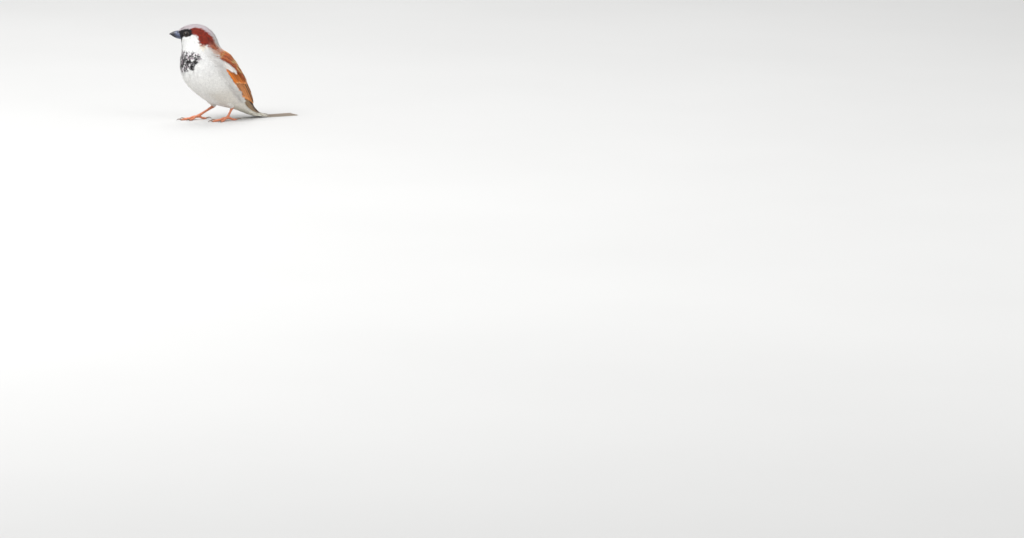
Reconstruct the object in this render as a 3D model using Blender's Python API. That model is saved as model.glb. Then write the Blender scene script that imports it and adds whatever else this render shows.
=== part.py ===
"""A house sparrow, adult male, standing still: the solids of a life-size museum model.

The bird faces -Y, its left side is +X, and its toes and tail rest on z = 0. The body is one lofted form,
from the bill's root to the tail, parted into head, neck, trunk and tail coverts. The wings are panels laid on
that form. Each leg has a feathered thigh, a bare tarsus, four toes and four claws.
"""

import math

import bmesh
import bpy
from mathutils import Matrix, Vector

MM = 0.001
GAP = 0.3 * MM  # clearance between neighbouring solids

# The outline on the middle plane, in mm, before the head is turned:
# station: ((y, z) on the back line, (y, z) on the breast line, half-width)
STATIONS = {
    "bill_root": ((-34.9, 84.8), (-32.9, 75.6), 4.8),
    "face": ((-31.9, 87.2), (-32.9, 72.8), 7.2),
    "eyes": ((-27.2, 89.1), (-32.5, 70.2), 8.4),
    "crown": ((-19.8, 90.3), (-32.4, 67.2), 10.1),
    "hind_crown": ((-11.2, 88.4), (-32.8, 64.2), 11.4),
    "nape": ((-3.8, 83.0), (-33.6, 61.0), 13.0),
    "neck": ((1.7, 75.2), (-34.2, 56.8), 15.4),
    "mantle": ((7.8, 66.8), (-34.2, 51.0), 18.2),
    "shoulders": ((14.0, 58.6), (-33.0, 44.7), 20.0),
    "back": ((20.4, 49.0), (-29.9, 37.8), 20.6),
    "belly": ((26.0, 39.2), (-24.4, 30.8), 19.9),
    "lower_back": ((30.6, 30.2), (-16.4, 23.8), 18.2),
    "hips": ((33.8, 22.8), (-7.0, 17.4), 15.8),
    "flanks": ((36.0, 17.0), (4.2, 13.0), 12.8),
    "vent": ((37.8, 12.8), (16.0, 10.0), 10.2),
    "tail_root": ((39.9, 9.4), (27.6, 6.2), 8.0),
    "tail_bend": ((43.8, 5.9), (37.8, 2.2), 6.8),
    "tail_cover_end": ((49.2, 3.1), (48.9, 0.5), 5.9),
}
STATION_NAMES = list(STATIONS)
CORNER_POWER = 2.15  # 2 is a true ellipse, more is fuller at the corners
LOW_WIDTH = 0.10  # how far below the middle a cross-section is widest, as a share of its depth

# The head is turned to the bird's right about an upright axis through the neck.
HEAD_TURN = math.radians(28)
TURN_AXIS_Y = -15.6
TURN_STARTS = STATION_NAMES.index("back")
TURN_ENDS = STATION_NAMES.index("hind_crown")

# Where the body form is parted, counted in stations
HEAD_END = 4.6
NECK_END = 7.0
TRUNK_END = 15.0
COVERTS_END = 17.0
SIDES = 28
RINGS_PER_STATION = 2
WING_RINGS_PER_STATION = 2.6

EYE_RADIUS = 3.0
EYE_PLACE = (6.2, -27.9, 81.5)

# The bill, in the middle plane before the head is turned
BILL_TIP = (-44.1, 80.8)
BILL_TOP_ROOT = (-34.9, 84.3)
BILL_GAPE_ROOT = (-33.6, 78.3)
BILL_LOW_ROOT = (-33.0, 76.1)
BILL_LOW_SHARE = 0.93  # the lower half ends short of the upper one
BILL_HALF_WIDTH = 3.9
CULMEN_ARCH = 0.75
GONYS_ARCH = 0.85
BILL_RINGS = 7
BILL_TIP_TAPER = 0.95  # the tip keeps the rest of the root's size

# The wing's lower and upper edge, in degrees up from the flank towards the back: {station: (lower, upper)}
WING_EDGES = {
    "mantle": (34, 40),
    "shoulders": (29, 55),
    "back": (25, 68),
    "belly": (23, 79),
    "lower_back": (21, 85),
    "hips": (17, 87),
    "flanks": (14, 86),
    "vent": (15, 80),
    "tail_root": (20, 68),
    "tail_bend": (28, 46),
}
# panel: (first station, last station, thickness in mm)
WING_PANELS = {
    "coverts": (7.15, 10.60, 2.1),
    "secondaries": (10.65, 13.30, 1.8),
    "primaries": (13.35, 16.00, 1.3),
}
WING_EDGE_THICKNESS = 0.6
WING_TAPER = 0.35  # how much thinner a panel is at its rear end
WING_STEPS = 4  # feathers that show across a panel
WING_STEP_HEIGHT = 0.45
TIP_SCALLOP = 0.3  # how far a feather's tip passes its sides, in stations
WING_CLEARANCE = (0.5, 0.9)  # from the body form at the shoulder and at the tip; more than GAP, as both are faceted

TAIL_START = 49.4
TAIL_END = 84.5
TAIL_NOTCH = 3.4
TAIL_ROOT_HALF_WIDTH = 5.4
TAIL_TIP_HALF_WIDTH = 9.0
TAIL_THICKNESS = 1.5
TAIL_EDGE_THICKNESS = 0.6
TAIL_FEATHERS = 12

# side: (knee, heel, foot joint, turn of the foot in degrees), in mm. The right leg is set forward.
LEGS = {
    "left": ((9.0, 6.0, 21.0), (10.4, 12.6, 12.6), (10.2, 7.4, 2.6), -4),
    "right": ((-9.0, -1.0, 22.0), (-10.2, 4.6, 12.0), (-10.4, -13.2, 2.7), 4),
}
THIGH_RADII = (5.6, 5.2, 4.2, 2.9, 2.0)
TARSUS_RADII = (1.45, 1.15, 0.95, 0.95, 1.1, 1.45)
# toe: (direction in degrees from straight ahead to the outside, length of toe, length of claw)
TOES = {
    "hind": (176, 9.2, 6.4),
    "inner": (-27, 11.0, 4.6),
    "middle": (0, 15.8, 5.2),
    "outer": (27, 11.6, 4.6),
}
TOE_RADII = (1.15, 1.05, 1.1, 0.92, 1.0, 0.84, 0.82)
TOE_ARCH = 0.9
CLAW_RADIUS = 0.66
CLAW_TIP_RADIUS = 0.25
FLOOR_SINK = 0.12  # how much of a toe's round underside is flat on the floor

# name: (colour, roughness, metallic)
MATERIALS = {
    "head_plumage": ((0.42, 0.30, 0.27), 0.85, 0.0),
    "pale_plumage": ((0.78, 0.75, 0.70), 0.85, 0.0),
    "wing_plumage": ((0.35, 0.14, 0.06), 0.80, 0.0),
    "flight_plumage": ((0.16, 0.11, 0.08), 0.75, 0.0),
    "tail_plumage": ((0.30, 0.26, 0.22), 0.75, 0.0),
    "bill_horn": ((0.13, 0.14, 0.18), 0.40, 0.0),
    "leg_scale": ((0.62, 0.25, 0.16), 0.55, 0.0),
    "claw_horn": ((0.20, 0.13, 0.10), 0.40, 0.0),
    "eye_gloss": ((0.02, 0.012, 0.01), 0.06, 0.0),
}


def clear_scene():
    for item in list(bpy.data.objects):
        bpy.data.objects.remove(item, do_unlink=True)


def make_materials():
    made = {}
    for name, (colour, roughness, metallic) in MATERIALS.items():
        material = bpy.data.materials.new(name)
        material.use_nodes = True
        shader = material.node_tree.nodes["Principled BSDF"]
        shader.inputs["Base Color"].default_value = (*colour, 1)
        shader.inputs["Roughness"].default_value = roughness
        shader.inputs["Metallic"].default_value = metallic
        made[name] = material
    return made


def smooth_step(value):
    value = min(1.0, max(0.0, value))
    return value * value * (3 - 2 * value)


def through(keys, place):
    """The value at this place, counted in keys, on a smooth curve through the keys."""
    last = len(keys) - 1
    first = min(int(max(place, 0)), last - 1)
    part = place - first
    before, start = keys[max(first - 1, 0)], keys[first]
    end, after = keys[first + 1], keys[min(first + 2, last)]
    return 0.5 * (
        2 * start
        + (end - before) * part
        + (2 * before - 5 * start + 4 * end - after) * part**2
        + (3 * start - before - 3 * end + after) * part**3
    )


BACK_Y = [back[0] for back, front, width in STATIONS.values()]
BACK_Z = [back[1] for back, front, width in STATIONS.values()]
FRONT_Y = [front[0] for back, front, width in STATIONS.values()]
FRONT_Z = [front[1] for back, front, width in STATIONS.values()]
HALF_WIDTHS = [width for back, front, width in STATIONS.values()]


def turned(point, share=1.0):
    """A point of the head, turned with it by this share of the whole turn."""
    axis = Vector((0, TURN_AXIS_Y, 0))
    return Matrix.Rotation(-HEAD_TURN * share, 3, "Z") @ (Vector(point) - axis) + axis


def head_share(station):
    return smooth_step((TURN_STARTS - station) / (TURN_STARTS - TURN_ENDS))


def body_point(station, angle, lift=0.0):
    """A point of the plumage in mm, at this angle up from the left flank, raised by lift."""
    back = Vector((0, through(BACK_Y, station), through(BACK_Z, station)))
    front = Vector((0, through(FRONT_Y, station), through(FRONT_Z, station)))
    middle = (back + front) / 2
    upward = (back - front).normalized()
    depth = (back - front).length / 2
    width = through(HALF_WIDTHS, station)
    side, rise = math.cos(angle), math.sin(angle)
    x = math.copysign(abs(side) ** (2 / CORNER_POWER), side) * (width + lift)
    z = math.copysign(abs(rise) ** (2 / CORNER_POWER), rise) * (depth + lift)
    z -= LOW_WIDTH * depth * side * side
    return turned(middle + Vector((x, 0, 0)) + upward * z, head_share(station))


def mirrored_body_point(sign, station, angle, lift):
    """The same point on the left side of the body, or on its right side where sign is -1."""
    return body_point(station, angle if sign > 0 else math.pi - angle, lift)


def new_object(name, bm, material):
    bmesh.ops.recalc_face_normals(bm, faces=bm.faces)
    mesh = bpy.data.meshes.new(name)
    bm.to_mesh(mesh)
    bm.free()
    mesh.shade_smooth()
    mesh.set_sharp_from_angle(angle=math.radians(50))
    item = bpy.data.objects.new(name, mesh)
    item.data.materials.append(material)
    bpy.context.collection.objects.link(item)
    return item


def close_band(bm, loop):
    """Closes the end of a flat or curved band: each point joined to the one across its thickness."""
    for i in range(len(loop) // 2 - 1):
        bm.faces.new((loop[i], loop[i + 1], loop[-2 - i], loop[-1 - i]))


def loft(name, rings, material, low=None, band=False):
    """A closed solid through rings of points in mm; no point goes below low."""
    bm = bmesh.new()
    loops = []
    for ring in rings:
        placed = [Vector(point) for point in ring]
        if low is not None:
            placed = [Vector((x, y, max(z, low))) for x, y, z in placed]
        loops.append([bm.verts.new(point * MM) for point in placed])
    count = len(loops[0])
    for near, far in zip(loops, loops[1:]):
        for i in range(count):
            j = (i + 1) % count
            bm.faces.new((near[i], near[j], far[j], far[i]))
    for loop in (loops[0], loops[-1]):
        if band:
            close_band(bm, loop)
        else:
            bmesh.ops.poke(bm, faces=[bm.faces.new(loop)])
    bmesh.ops.dissolve_degenerate(bm, dist=1e-6, edges=bm.edges)
    return new_object(name, bm, material)


def cut(item, cutter):
    """Takes the cutter's shape out of the item."""
    cutter.hide_render = True
    cutter.display_type = "WIRE"
    modifier = item.modifiers.new("room for " + cutter.name, "BOOLEAN")
    modifier.operation = "DIFFERENCE"
    modifier.solver = "EXACT"
    modifier.object = cutter


def body_piece(name, start, end, material):
    steps = max(2, round((end - start) * RINGS_PER_STATION))
    angles = [2 * math.pi * i / SIDES for i in range(SIDES)]
    stations = [start + (end - start) * i / steps for i in range(steps + 1)]
    rings = [[body_point(station, angle) for angle in angles] for station in stations]
    return loft(name, rings, material)


def make_body(materials):
    station_gap = 0.06  # in stations, at least GAP at the narrowest
    return {
        "head": body_piece("head", 0, HEAD_END, materials["head_plumage"]),
        "neck": body_piece("neck", HEAD_END + station_gap, NECK_END, materials["pale_plumage"]),
        "trunk": body_piece("trunk", NECK_END + station_gap, TRUNK_END, materials["pale_plumage"]),
        "tail_coverts": body_piece(
            "tail_coverts", TRUNK_END + station_gap, COVERTS_END, materials["pale_plumage"]
        ),
    }


def ball(name, centre, radius, material):
    bm = bmesh.new()
    bmesh.ops.create_uvsphere(bm, u_segments=14, v_segments=9, radius=radius * MM)
    bmesh.ops.rotate(bm, cent=(0, 0, 0), matrix=Matrix.Rotation(math.pi / 2, 3, "Y"), verts=bm.verts)
    bmesh.ops.translate(bm, vec=centre * MM, verts=bm.verts)
    return new_object(name, bm, material)


def make_eyes(head, materials):
    x, y, z = EYE_PLACE
    for side, sign in (("left", 1), ("right", -1)):
        centre = turned((sign * x, y, z))
        ball("eye_" + side, centre, EYE_RADIUS, materials["eye_gloss"])
        socket = ball("socket_" + side, centre, EYE_RADIUS + GAP / MM, materials["eye_gloss"])
        cut(head, socket)


def bill_half(name, outer_root, length_share, arch, upward, material):
    """One half of the bill: arched outside, flat where the two halves meet."""
    gape, tip = Vector((0, *BILL_GAPE_ROOT)), Vector((0, *BILL_TIP))
    forward = (tip - gape).normalized()
    lift = Vector((0, 0, upward * GAP / MM / 2))
    edge_root = gape + lift + forward * GAP / MM * 1.2
    edge_tip = gape.lerp(tip, length_share) + lift
    depth_root = Vector((0, *outer_root)) - gape
    width_root = BILL_HALF_WIDTH * (1.0 if upward > 0 else 0.9)
    rings = []
    for i in range(BILL_RINGS + 1):
        share = i / BILL_RINGS
        taper = 1 - share * BILL_TIP_TAPER
        edge = edge_root.lerp(edge_tip, share)
        depth = depth_root * taper
        depth.z += upward * arch * math.sin(math.pi * share)
        ring = []
        for k in range(9):
            angle = math.pi * k / 8
            across = Vector((math.cos(angle) * width_root * taper**0.85, 0, 0))
            ring.append(turned(edge + across + depth * math.sin(angle)))
        rings.append(ring)
    return loft(name, rings, material)


def make_bill(materials):
    horn = materials["bill_horn"]
    bill_half("bill_upper", BILL_TOP_ROOT, 1.0, CULMEN_ARCH, 1, horn)
    bill_half("bill_lower", BILL_LOW_ROOT, BILL_LOW_SHARE, GONYS_ARCH, -1, horn)


def wing_edge(station, upper):
    keys = [edges[upper] for edges in WING_EDGES.values()]
    first = STATION_NAMES.index(next(iter(WING_EDGES)))
    return math.radians(through(keys, min(max(station - first, 0), len(keys) - 1)))


def panel_edge(station, share):
    """The line where one wing panel ends and the next begins: a row of rounded feather tips."""
    return station + TIP_SCALLOP * math.sin(math.pi * (share * WING_STEPS % 1.0)) ** 0.7


def wing_panel(name, sign, start, end, thickness, material):
    """A panel of the folded wing: a shell over the body form, stepped where each feather overlaps the one below."""
    along = round((end - start) * WING_RINGS_PER_STATION)
    start_of_wing, end_of_wing = WING_PANELS["coverts"][0], WING_PANELS["primaries"][1]
    shares = [(k + part) / WING_STEPS for k in range(WING_STEPS) for part in (0.02, 0.5, 0.98)]
    rings = []
    for i in range(along + 1):
        part = i / along
        taper = 1 - WING_TAPER * part
        outer, inner = [], []
        for share in shares:
            first = start if start == start_of_wing else panel_edge(start, share)
            station = first + (panel_edge(end, share) - first) * part
            low, high = wing_edge(station, 0), wing_edge(station, 1)
            angle = low + (high - low) * share
            bulge = math.sin(math.pi * share) ** 0.6
            height = WING_EDGE_THICKNESS + (thickness * taper - WING_EDGE_THICKNESS) * bulge
            height += WING_STEP_HEIGHT * (0.5 - share * WING_STEPS % 1.0) * min(1, 2 * bulge)
            clear = through(WING_CLEARANCE, (station - start_of_wing) / (end_of_wing - start_of_wing))
            outer.append((station, angle, clear + height))
            inner.append((station, angle, clear))
        ring = [mirrored_body_point(sign, *place) for place in outer + inner[::-1]]
        rings.append(ring)
    return loft(name, rings, material, band=True)


def make_wings(materials):
    for side, sign in (("left", 1), ("right", -1)):
        for panel, (start, end, thickness) in WING_PANELS.items():
            material = materials["flight_plumage" if panel == "primaries" else "wing_plumage"]
            wing_panel(f"wing_{side}_{panel}", sign, start, end, thickness, material)


def make_tail(material):
    """Twelve tail feathers as one fan: each overlaps its outer neighbour by a small step."""
    half = TAIL_FEATHERS // 2
    shares = sorted({round(k / half, 4) for k in range(half + 1)} | {round((k + 0.92) / half, 4) for k in range(half)})
    shares = [-share for share in reversed(shares[1:])] + shares
    rings = []
    along = 7
    for i in range(along + 1):
        part = i / along
        spread = TAIL_ROOT_HALF_WIDTH + (TAIL_TIP_HALF_WIDTH - TAIL_ROOT_HALF_WIDTH) * part**0.8
        thickness = TAIL_THICKNESS + (TAIL_THICKNESS * 0.6 - TAIL_THICKNESS) * part
        top, bottom = [], []
        for share in shares:
            end = TAIL_END - TAIL_NOTCH * (1 - abs(share) ** 1.2) - 1.6 * abs(share) ** 8
            y = TAIL_START + (end - TAIL_START) * part
            step = math.ceil(abs(share) * half - 1e-6) / half
            fall = 0.75 * step + 0.25 * abs(share)
            height = thickness + (TAIL_EDGE_THICKNESS - thickness) * fall
            top.append(Vector((share * spread, y, height)))
            bottom.append(Vector((share * spread, y, 0)))
        rings.append(top + bottom[::-1])
    return loft("tail", rings, material, band=True)


def tube_rings(path, radii, sides=10, margin=0.0, flatten=1.0):
    """Rings along a path of points in mm, with closed round ends."""
    points = [Vector(point) for point in path]
    last = len(points) - 1
    rings = []
    for i, centre in enumerate(points):
        ahead = (points[min(i + 1, last)] - points[max(i - 1, 0)]).normalized()
        sideways = ahead.cross(Vector((0, 0, 1)))
        if sideways.length < 0.1:
            sideways = ahead.cross(Vector((0, 1, 0)))
        sideways.normalize()
        upward = sideways.cross(ahead)
        radius = through(radii, i * (len(radii) - 1) / last) + margin
        ends = ((centre, radius),)
        if i == 0:
            ends = ((centre - ahead * radius * 0.75, radius * 0.5), (centre, radius))
        if i == last:
            ends = ((centre, radius), (centre + ahead * radius * 0.75, radius * 0.5))
        for middle, size in ends:
            ring = []
            for k in range(sides):
                angle = 2 * math.pi * k / sides
                across = sideways * math.cos(angle) * size
                ring.append(middle + across + upward * math.sin(angle) * size * flatten)
            rings.append(ring)
    return rings


def toe_path(joint, heading, length):
    """From the foot joint out along the floor: the toe steps down, then runs level over its knuckles."""
    steps = 7
    path = []
    rest = TOE_RADII[-1] - FLOOR_SINK
    for i in range(steps + 1):
        share = i / steps
        drop = smooth_step(share * 1.5)
        height = joint.z + (rest + 0.05 - joint.z) * drop
        height += TOE_ARCH * math.sin(math.pi * min(share * 1.15, 1)) * (1 - drop * 0.55)
        path.append(Vector((joint.x, joint.y, 0)) + heading * length * share + Vector((0, 0, height)))
    return path


def claw_path(base, heading, length):
    """An arc that rises a little from the toe and hooks down to the floor."""
    steps = 5
    path = []
    for i in range(steps + 1):
        share = i / steps
        reach = length * 0.86 * math.sin(share * math.pi * 0.42) / math.sin(math.pi * 0.42)
        rise = 0.9 * math.sin(math.pi * share * 0.8)
        height = base.z + rise - (base.z - CLAW_TIP_RADIUS - 0.05 + 0.9 * math.sin(math.pi * 0.8)) * share**2.2
        path.append(Vector((base.x, base.y, 0)) + heading * reach + Vector((0, 0, height)))
    return path


def make_foot(side, joint, turn, materials, tarsus):
    outward = 1 if side == "left" else -1
    scale, horn = materials["leg_scale"], materials["claw_horn"]
    made = {}
    for toe in ("middle", "hind", "outer", "inner"):
        degrees, length, claw = TOES[toe]
        angle = math.radians(degrees * outward - turn)
        heading = Vector((math.sin(angle), -math.cos(angle), 0))
        path = toe_path(joint, heading, length)
        name = f"toe_{side}_{toe}"
        made[toe] = loft(name, tube_rings(path, TOE_RADII), scale, low=0)
        cut(made[toe], tarsus)
        for other in ("middle", "hind", "outer"):
            if other != toe and other in made:
                cut(made[toe], bpy.data.objects[f"room_{side}_{other}"])
        room = tube_rings(path, TOE_RADII, margin=GAP / MM)
        loft(f"room_{side}_{toe}", room, scale).hide_render = True
        base = path[-1] + heading * (TOE_RADII[-1] * 0.75 + GAP / MM)
        radii = [CLAW_RADIUS + (CLAW_TIP_RADIUS - CLAW_RADIUS) * k / 4 for k in range(5)]
        claw_rings = tube_rings(claw_path(base, heading, claw), radii, sides=7)
        loft(f"claw_{side}_{toe}", claw_rings[1:], horn, low=0.02)


def make_legs(trunk, materials):
    scale, down = materials["leg_scale"], materials["pale_plumage"]
    for side, (knee, heel, joint, turn) in LEGS.items():
        knee, heel, joint = Vector(knee), Vector(heel), Vector(joint)
        steps = len(THIGH_RADII) - 1
        upper = [knee.lerp(heel, i / steps) for i in range(steps + 1)]
        loft(f"thigh_{side}", tube_rings(upper, THIGH_RADII, sides=16), down)
        room = loft(f"thigh_room_{side}", tube_rings(upper, THIGH_RADII, 16, GAP / MM), down)
        cut(trunk, room)
        lower = [heel.lerp(joint, i / 6) for i in range(7)]
        tarsus = loft(f"tarsus_{side}", tube_rings(lower, TARSUS_RADII, sides=12, flatten=1.15), scale)
        cut(tarsus, room)
        tarsus_room = loft(
            f"tarsus_room_{side}", tube_rings(lower, TARSUS_RADII, 12, GAP / MM, 1.15), scale
        )
        tarsus_room.hide_render = True
        make_foot(side, joint, turn, materials, tarsus_room)


def centre_on_origin():
    """Moves everything so that the whole bird stands over the origin."""
    bpy.context.view_layer.update()
    solids = [item for item in bpy.data.objects if not item.hide_render]
    corners = [vertex.co for item in solids for vertex in item.data.vertices]
    middle = [(min(axis) + max(axis)) / 2 for axis in list(zip(*corners))[:2]]
    shift = Matrix.Translation((-middle[0], -middle[1], 0))
    for item in bpy.data.objects:
        item.data.transform(shift)


def main():
    clear_scene()
    materials = make_materials()
    body = make_body(materials)
    make_eyes(body["head"], materials)
    make_bill(materials)
    make_wings(materials)
    make_tail(materials["tail_plumage"])
    make_legs(body["trunk"], materials)
    centre_on_origin()


main()
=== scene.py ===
import math

import bmesh
import bpy
import numpy as np
from mathutils import Matrix, Vector


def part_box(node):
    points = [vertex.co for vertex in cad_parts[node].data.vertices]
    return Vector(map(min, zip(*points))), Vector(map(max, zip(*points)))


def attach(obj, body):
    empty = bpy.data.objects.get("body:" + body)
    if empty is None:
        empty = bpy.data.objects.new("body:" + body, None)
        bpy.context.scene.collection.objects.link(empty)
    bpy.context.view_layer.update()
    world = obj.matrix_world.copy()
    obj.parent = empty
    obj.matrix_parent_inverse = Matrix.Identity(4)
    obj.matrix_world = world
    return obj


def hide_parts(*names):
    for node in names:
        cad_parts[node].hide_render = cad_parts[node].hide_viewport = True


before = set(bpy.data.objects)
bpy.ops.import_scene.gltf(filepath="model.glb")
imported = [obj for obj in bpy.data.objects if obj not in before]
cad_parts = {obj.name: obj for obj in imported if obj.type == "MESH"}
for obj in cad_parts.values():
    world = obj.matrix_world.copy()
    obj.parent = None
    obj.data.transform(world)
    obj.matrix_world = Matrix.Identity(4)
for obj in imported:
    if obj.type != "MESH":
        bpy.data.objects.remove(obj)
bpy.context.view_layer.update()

# The looks of a house sparrow, adult male, life-size, standing still. It faces -Y; its left side is +X.
# Lengths are in mm until a piece is made. A place on the body is a station, from the bill (0) to the end of
# the tail coverts (17), and an angle round it: 0 is the left flank, 90 degrees the back, 180 the right flank.

MM = 0.001
SEED = 20

# station: ((y, z) on the back line, (y, z) on the breast line, half-width), before the head is turned
STATIONS = {
    "bill_root": ((-34.9, 84.8), (-32.9, 75.6), 4.8),
    "face": ((-31.9, 87.2), (-32.9, 72.8), 7.2),
    "eyes": ((-27.2, 89.1), (-32.5, 70.2), 8.4),
    "crown": ((-19.8, 90.3), (-32.4, 67.2), 10.1),
    "hind_crown": ((-11.2, 88.4), (-32.8, 64.2), 11.4),
    "nape": ((-3.8, 83.0), (-33.6, 61.0), 13.0),
    "neck": ((1.7, 75.2), (-34.2, 56.8), 15.4),
    "mantle": ((7.8, 66.8), (-34.2, 51.0), 18.2),
    "shoulders": ((14.0, 58.6), (-33.0, 44.7), 20.0),
    "back": ((20.4, 49.0), (-29.9, 37.8), 20.6),
    "belly": ((26.0, 39.2), (-24.4, 30.8), 19.9),
    "lower_back": ((30.6, 30.2), (-16.4, 23.8), 18.2),
    "hips": ((33.8, 22.8), (-7.0, 17.4), 15.8),
    "flanks": ((36.0, 17.0), (4.2, 13.0), 12.8),
    "vent": ((37.8, 12.8), (16.0, 10.0), 10.2),
    "tail_root": ((39.9, 9.4), (27.6, 6.2), 8.0),
    "tail_bend": ((43.8, 5.9), (37.8, 2.2), 6.8),
    "tail_cover_end": ((49.2, 3.1), (48.9, 0.5), 5.9),
}
BACK_LINE, FRONT_LINE, HALF_WIDTHS = (np.array(column) for column in zip(*STATIONS.values()))
LAST_STATION = len(STATIONS) - 1
CORNER_POWER = 2.15  # 2 is a true ellipse, more is fuller at the corners
LOW_WIDTH = 0.10  # how far below the middle a cross-section is widest, as a share of its depth
NAPE_STATION, NAPE_REACH, NAPE_HOLLOW = 6.65, 0.75, 2.3  # where and how far the neck dips behind the head
HEAD_TURN = math.radians(28)  # to the bird's right
TURN_AXIS = np.array((0, -15.6, 0))
TURN_STARTS, TURN_ENDS = 9, 4  # stations

EYE_RADIUS = 3.0
EYE_PLACE = (6.2, -27.9, 81.5)
EYE_AXIS = (1.0, -0.16, 0.10)  # which way the left eye looks, before the head is turned
EYE_OPENING = (2.12, 1.88)  # half-length and half-height between the lids
EYE_CLEARANCE = 3.05  # no feather is rooted nearer to the middle of an eye
EYE_RING = (2.55, 3.9)  # where the tiny feathers of the lids are rooted
# Rings of the lid, from under its edge over its rim and two folds: (out from the opening, from the centre)
LID_RINGS = (
    (-0.05, 2.96), (0.0, 3.08), (0.05, 3.20), (0.16, 3.26), (0.30, 3.23), (0.40, 3.13), (0.50, 3.13),
    (0.64, 3.20), (0.78, 3.18), (0.88, 3.08), (1.05, 3.06), (1.35, 3.0), (1.9, 2.9),
)

BILL_TIP, BILL_GAPE_ROOT = (0, -44.1, 80.8), (0, -33.6, 78.3)
BILL_TOP_ROOT, BILL_LOW_ROOT = (0, -34.9, 84.3), (0, -33.0, 76.1)
BILL_HALF_WIDTH = 3.9
BILL_ROWS, BILL_COLUMNS = 56, 49
NOSTRIL_PLACE, NOSTRIL_TURN = 0.13, math.radians(42)  # share of the bill's length, and turn from its ridge

# The folded wing's lower and upper edge in degrees, from the mantle's station to the tail bend's
WING_LOW = np.array([24, 18, 17, 23, 24, 24, 24, 21, 19, 22], float)
WING_HIGH = np.array([40, 55, 68, 79, 85, 87, 86, 80, 68, 46], float)
WING_FIRST, WING_FRONT = 7, 7.15
# Where feathers of the wing end: (station, degrees up from the flank), from the lowest up
PRIMARY_TIPS = (
    (15.3, 27), (15.85, 30), (16.0, 34.5), (15.75, 39), (15.3, 42), (14.85, 46), (14.45, 50), (14.1, 54),
)
BAR_TIPS = ((7.95, 20), (8.3, 21.5), (8.58, 25.5), (8.8, 29), (9.0, 32.5), (9.2, 36), (9.4, 40))
LESSER_EDGE = np.array([
    (7.15, 28), (7.46, 30.5), (7.78, 33.5), (8.12, 37.5), (8.44, 41), (8.73, 44), (9.0, 46), (9.3, 48.5),
])
LESSER_IN_ROW = 14

TAIL_START, TAIL_END, TAIL_ROOTS = 49.4, 84.5, 44.0
TAIL_NOTCH = 3.4
TAIL_ROOT_HALF_WIDTH, TAIL_TIP_HALF_WIDTH = 5.4, 9.0
TAIL_PAIRS, TAIL_FEATHER_HALF_WIDTH = 6, 2.35
TAIL_COVERTS_LIFT_FROM = 17.1  # from this station on, the upper ones ride up over the tail

# side: (knee, heel, foot joint, turn of the foot in degrees)
LEGS = {
    "left": ((9.0, 6.0, 21.0), (10.4, 12.6, 12.6), (10.2, 7.4, 2.6), -4),
    "right": ((-9.0, -1.0, 22.0), (-10.2, 4.6, 12.0), (-10.4, -13.2, 2.7), 4),
}
THIGH_RADII = np.array([5.6, 5.2, 4.2, 2.9, 2.0])
TARSUS_RADII = np.array([1.45, 1.15, 0.95, 0.95, 1.1, 1.45])
# toe: (direction in degrees from straight ahead to the outside, length of toe, length of claw)
TOES = {
    "hind": (176, 9.2, 6.4), "inner": (-27, 11.0, 4.6), "middle": (0, 15.8, 5.2), "outer": (27, 11.6, 4.6),
}
TOE_RADII = np.array([1.15, 1.05, 1.1, 0.92, 1.0, 0.84, 0.82])
TOE_ARCH = 0.9
TARSUS_ROWS, ROUND_LEG, CLAW_ROWS, TOE_ROWS_PER_MM = 90, 25, 34, 7
TOE_REST = TOE_RADII[-1] - 0.12  # height of a toe's end, its underside pressed flat on the floor
LEG_PLATE, TOE_PLATE, TOE_PAD = 2.3, 1.05, 3.6  # lengths
CLAW_RADIUS, CLAW_TIP_RADIUS, CLAW_RISE = 0.66, 0.16, 0.9

# Colours, linear
BLACK = (0.018, 0.016, 0.018)
# The crown's grey is partly its own colour and partly painted light, paler as if its top were lit
CROWN_GREY_AND_PAINTED_LIGHT = (0.54, 0.475, 0.50)
NAPE_GREY = (0.53, 0.52, 0.51)
NAPE_BROWN = (0.46, 0.23, 0.14)
NAPE_RUST = (0.50, 0.15, 0.06)
HEAD_CHESTNUT = (0.27, 0.030, 0.015)
DARK_CHESTNUT = (0.10, 0.022, 0.016)
CHEEK_WHITE = (0.90, 0.90, 0.89)
CREAM = (0.80, 0.70, 0.52)
BIB_FRINGE = (0.70, 0.67, 0.69)
BIB_MAUVE = (0.30, 0.24, 0.27)
BREAST = (0.84, 0.84, 0.83)
BELLY = (0.86, 0.85, 0.82)
FLANK_BUFF = (0.72, 0.68, 0.61)
SIDE_GREY = (0.64, 0.62, 0.60)
VENT_CREAM = (0.76, 0.73, 0.63)
MANTLE_CHESTNUT = (0.58, 0.135, 0.04)
MANTLE_BUFF = (0.66, 0.43, 0.17)
BRACE_EDGE = (0.86, 0.62, 0.30)
STREAK = (0.04, 0.024, 0.018)
BAR_WHITE = (0.90, 0.87, 0.83)
BAR_SHAFT = (0.70, 0.66, 0.62)
LESSER_CENTRE = (0.17, 0.032, 0.018)
LESSER_TIP = (0.70, 0.28, 0.11)
LESSER_ROWS = (
    (0.48, 0.085, 0.032), (0.80, 0.21, 0.07), (0.34, 0.055, 0.024), (0.78, 0.18, 0.05), (0.50, 0.10, 0.035),
    (0.82, 0.38, 0.14),
)
COVERT_CENTRE = (0.035, 0.018, 0.012)
COVERT_ORANGE = (0.74, 0.20, 0.028)
COVERT_TIP = (0.78, 0.46, 0.21)
TERTIAL_CENTRE = (0.06, 0.038, 0.026)
TERTIAL_EDGE = (0.76, 0.30, 0.10)
FLIGHT_DARK = (0.085, 0.058, 0.045)
FLIGHT_EDGE = (0.52, 0.36, 0.21)
RUMP = (0.27, 0.225, 0.175)
TAIL_COVERT_EDGE = (0.62, 0.57, 0.48)
TAIL_BROWN = (0.215, 0.175, 0.14)
TAIL_EDGE = (0.60, 0.54, 0.44)
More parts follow.
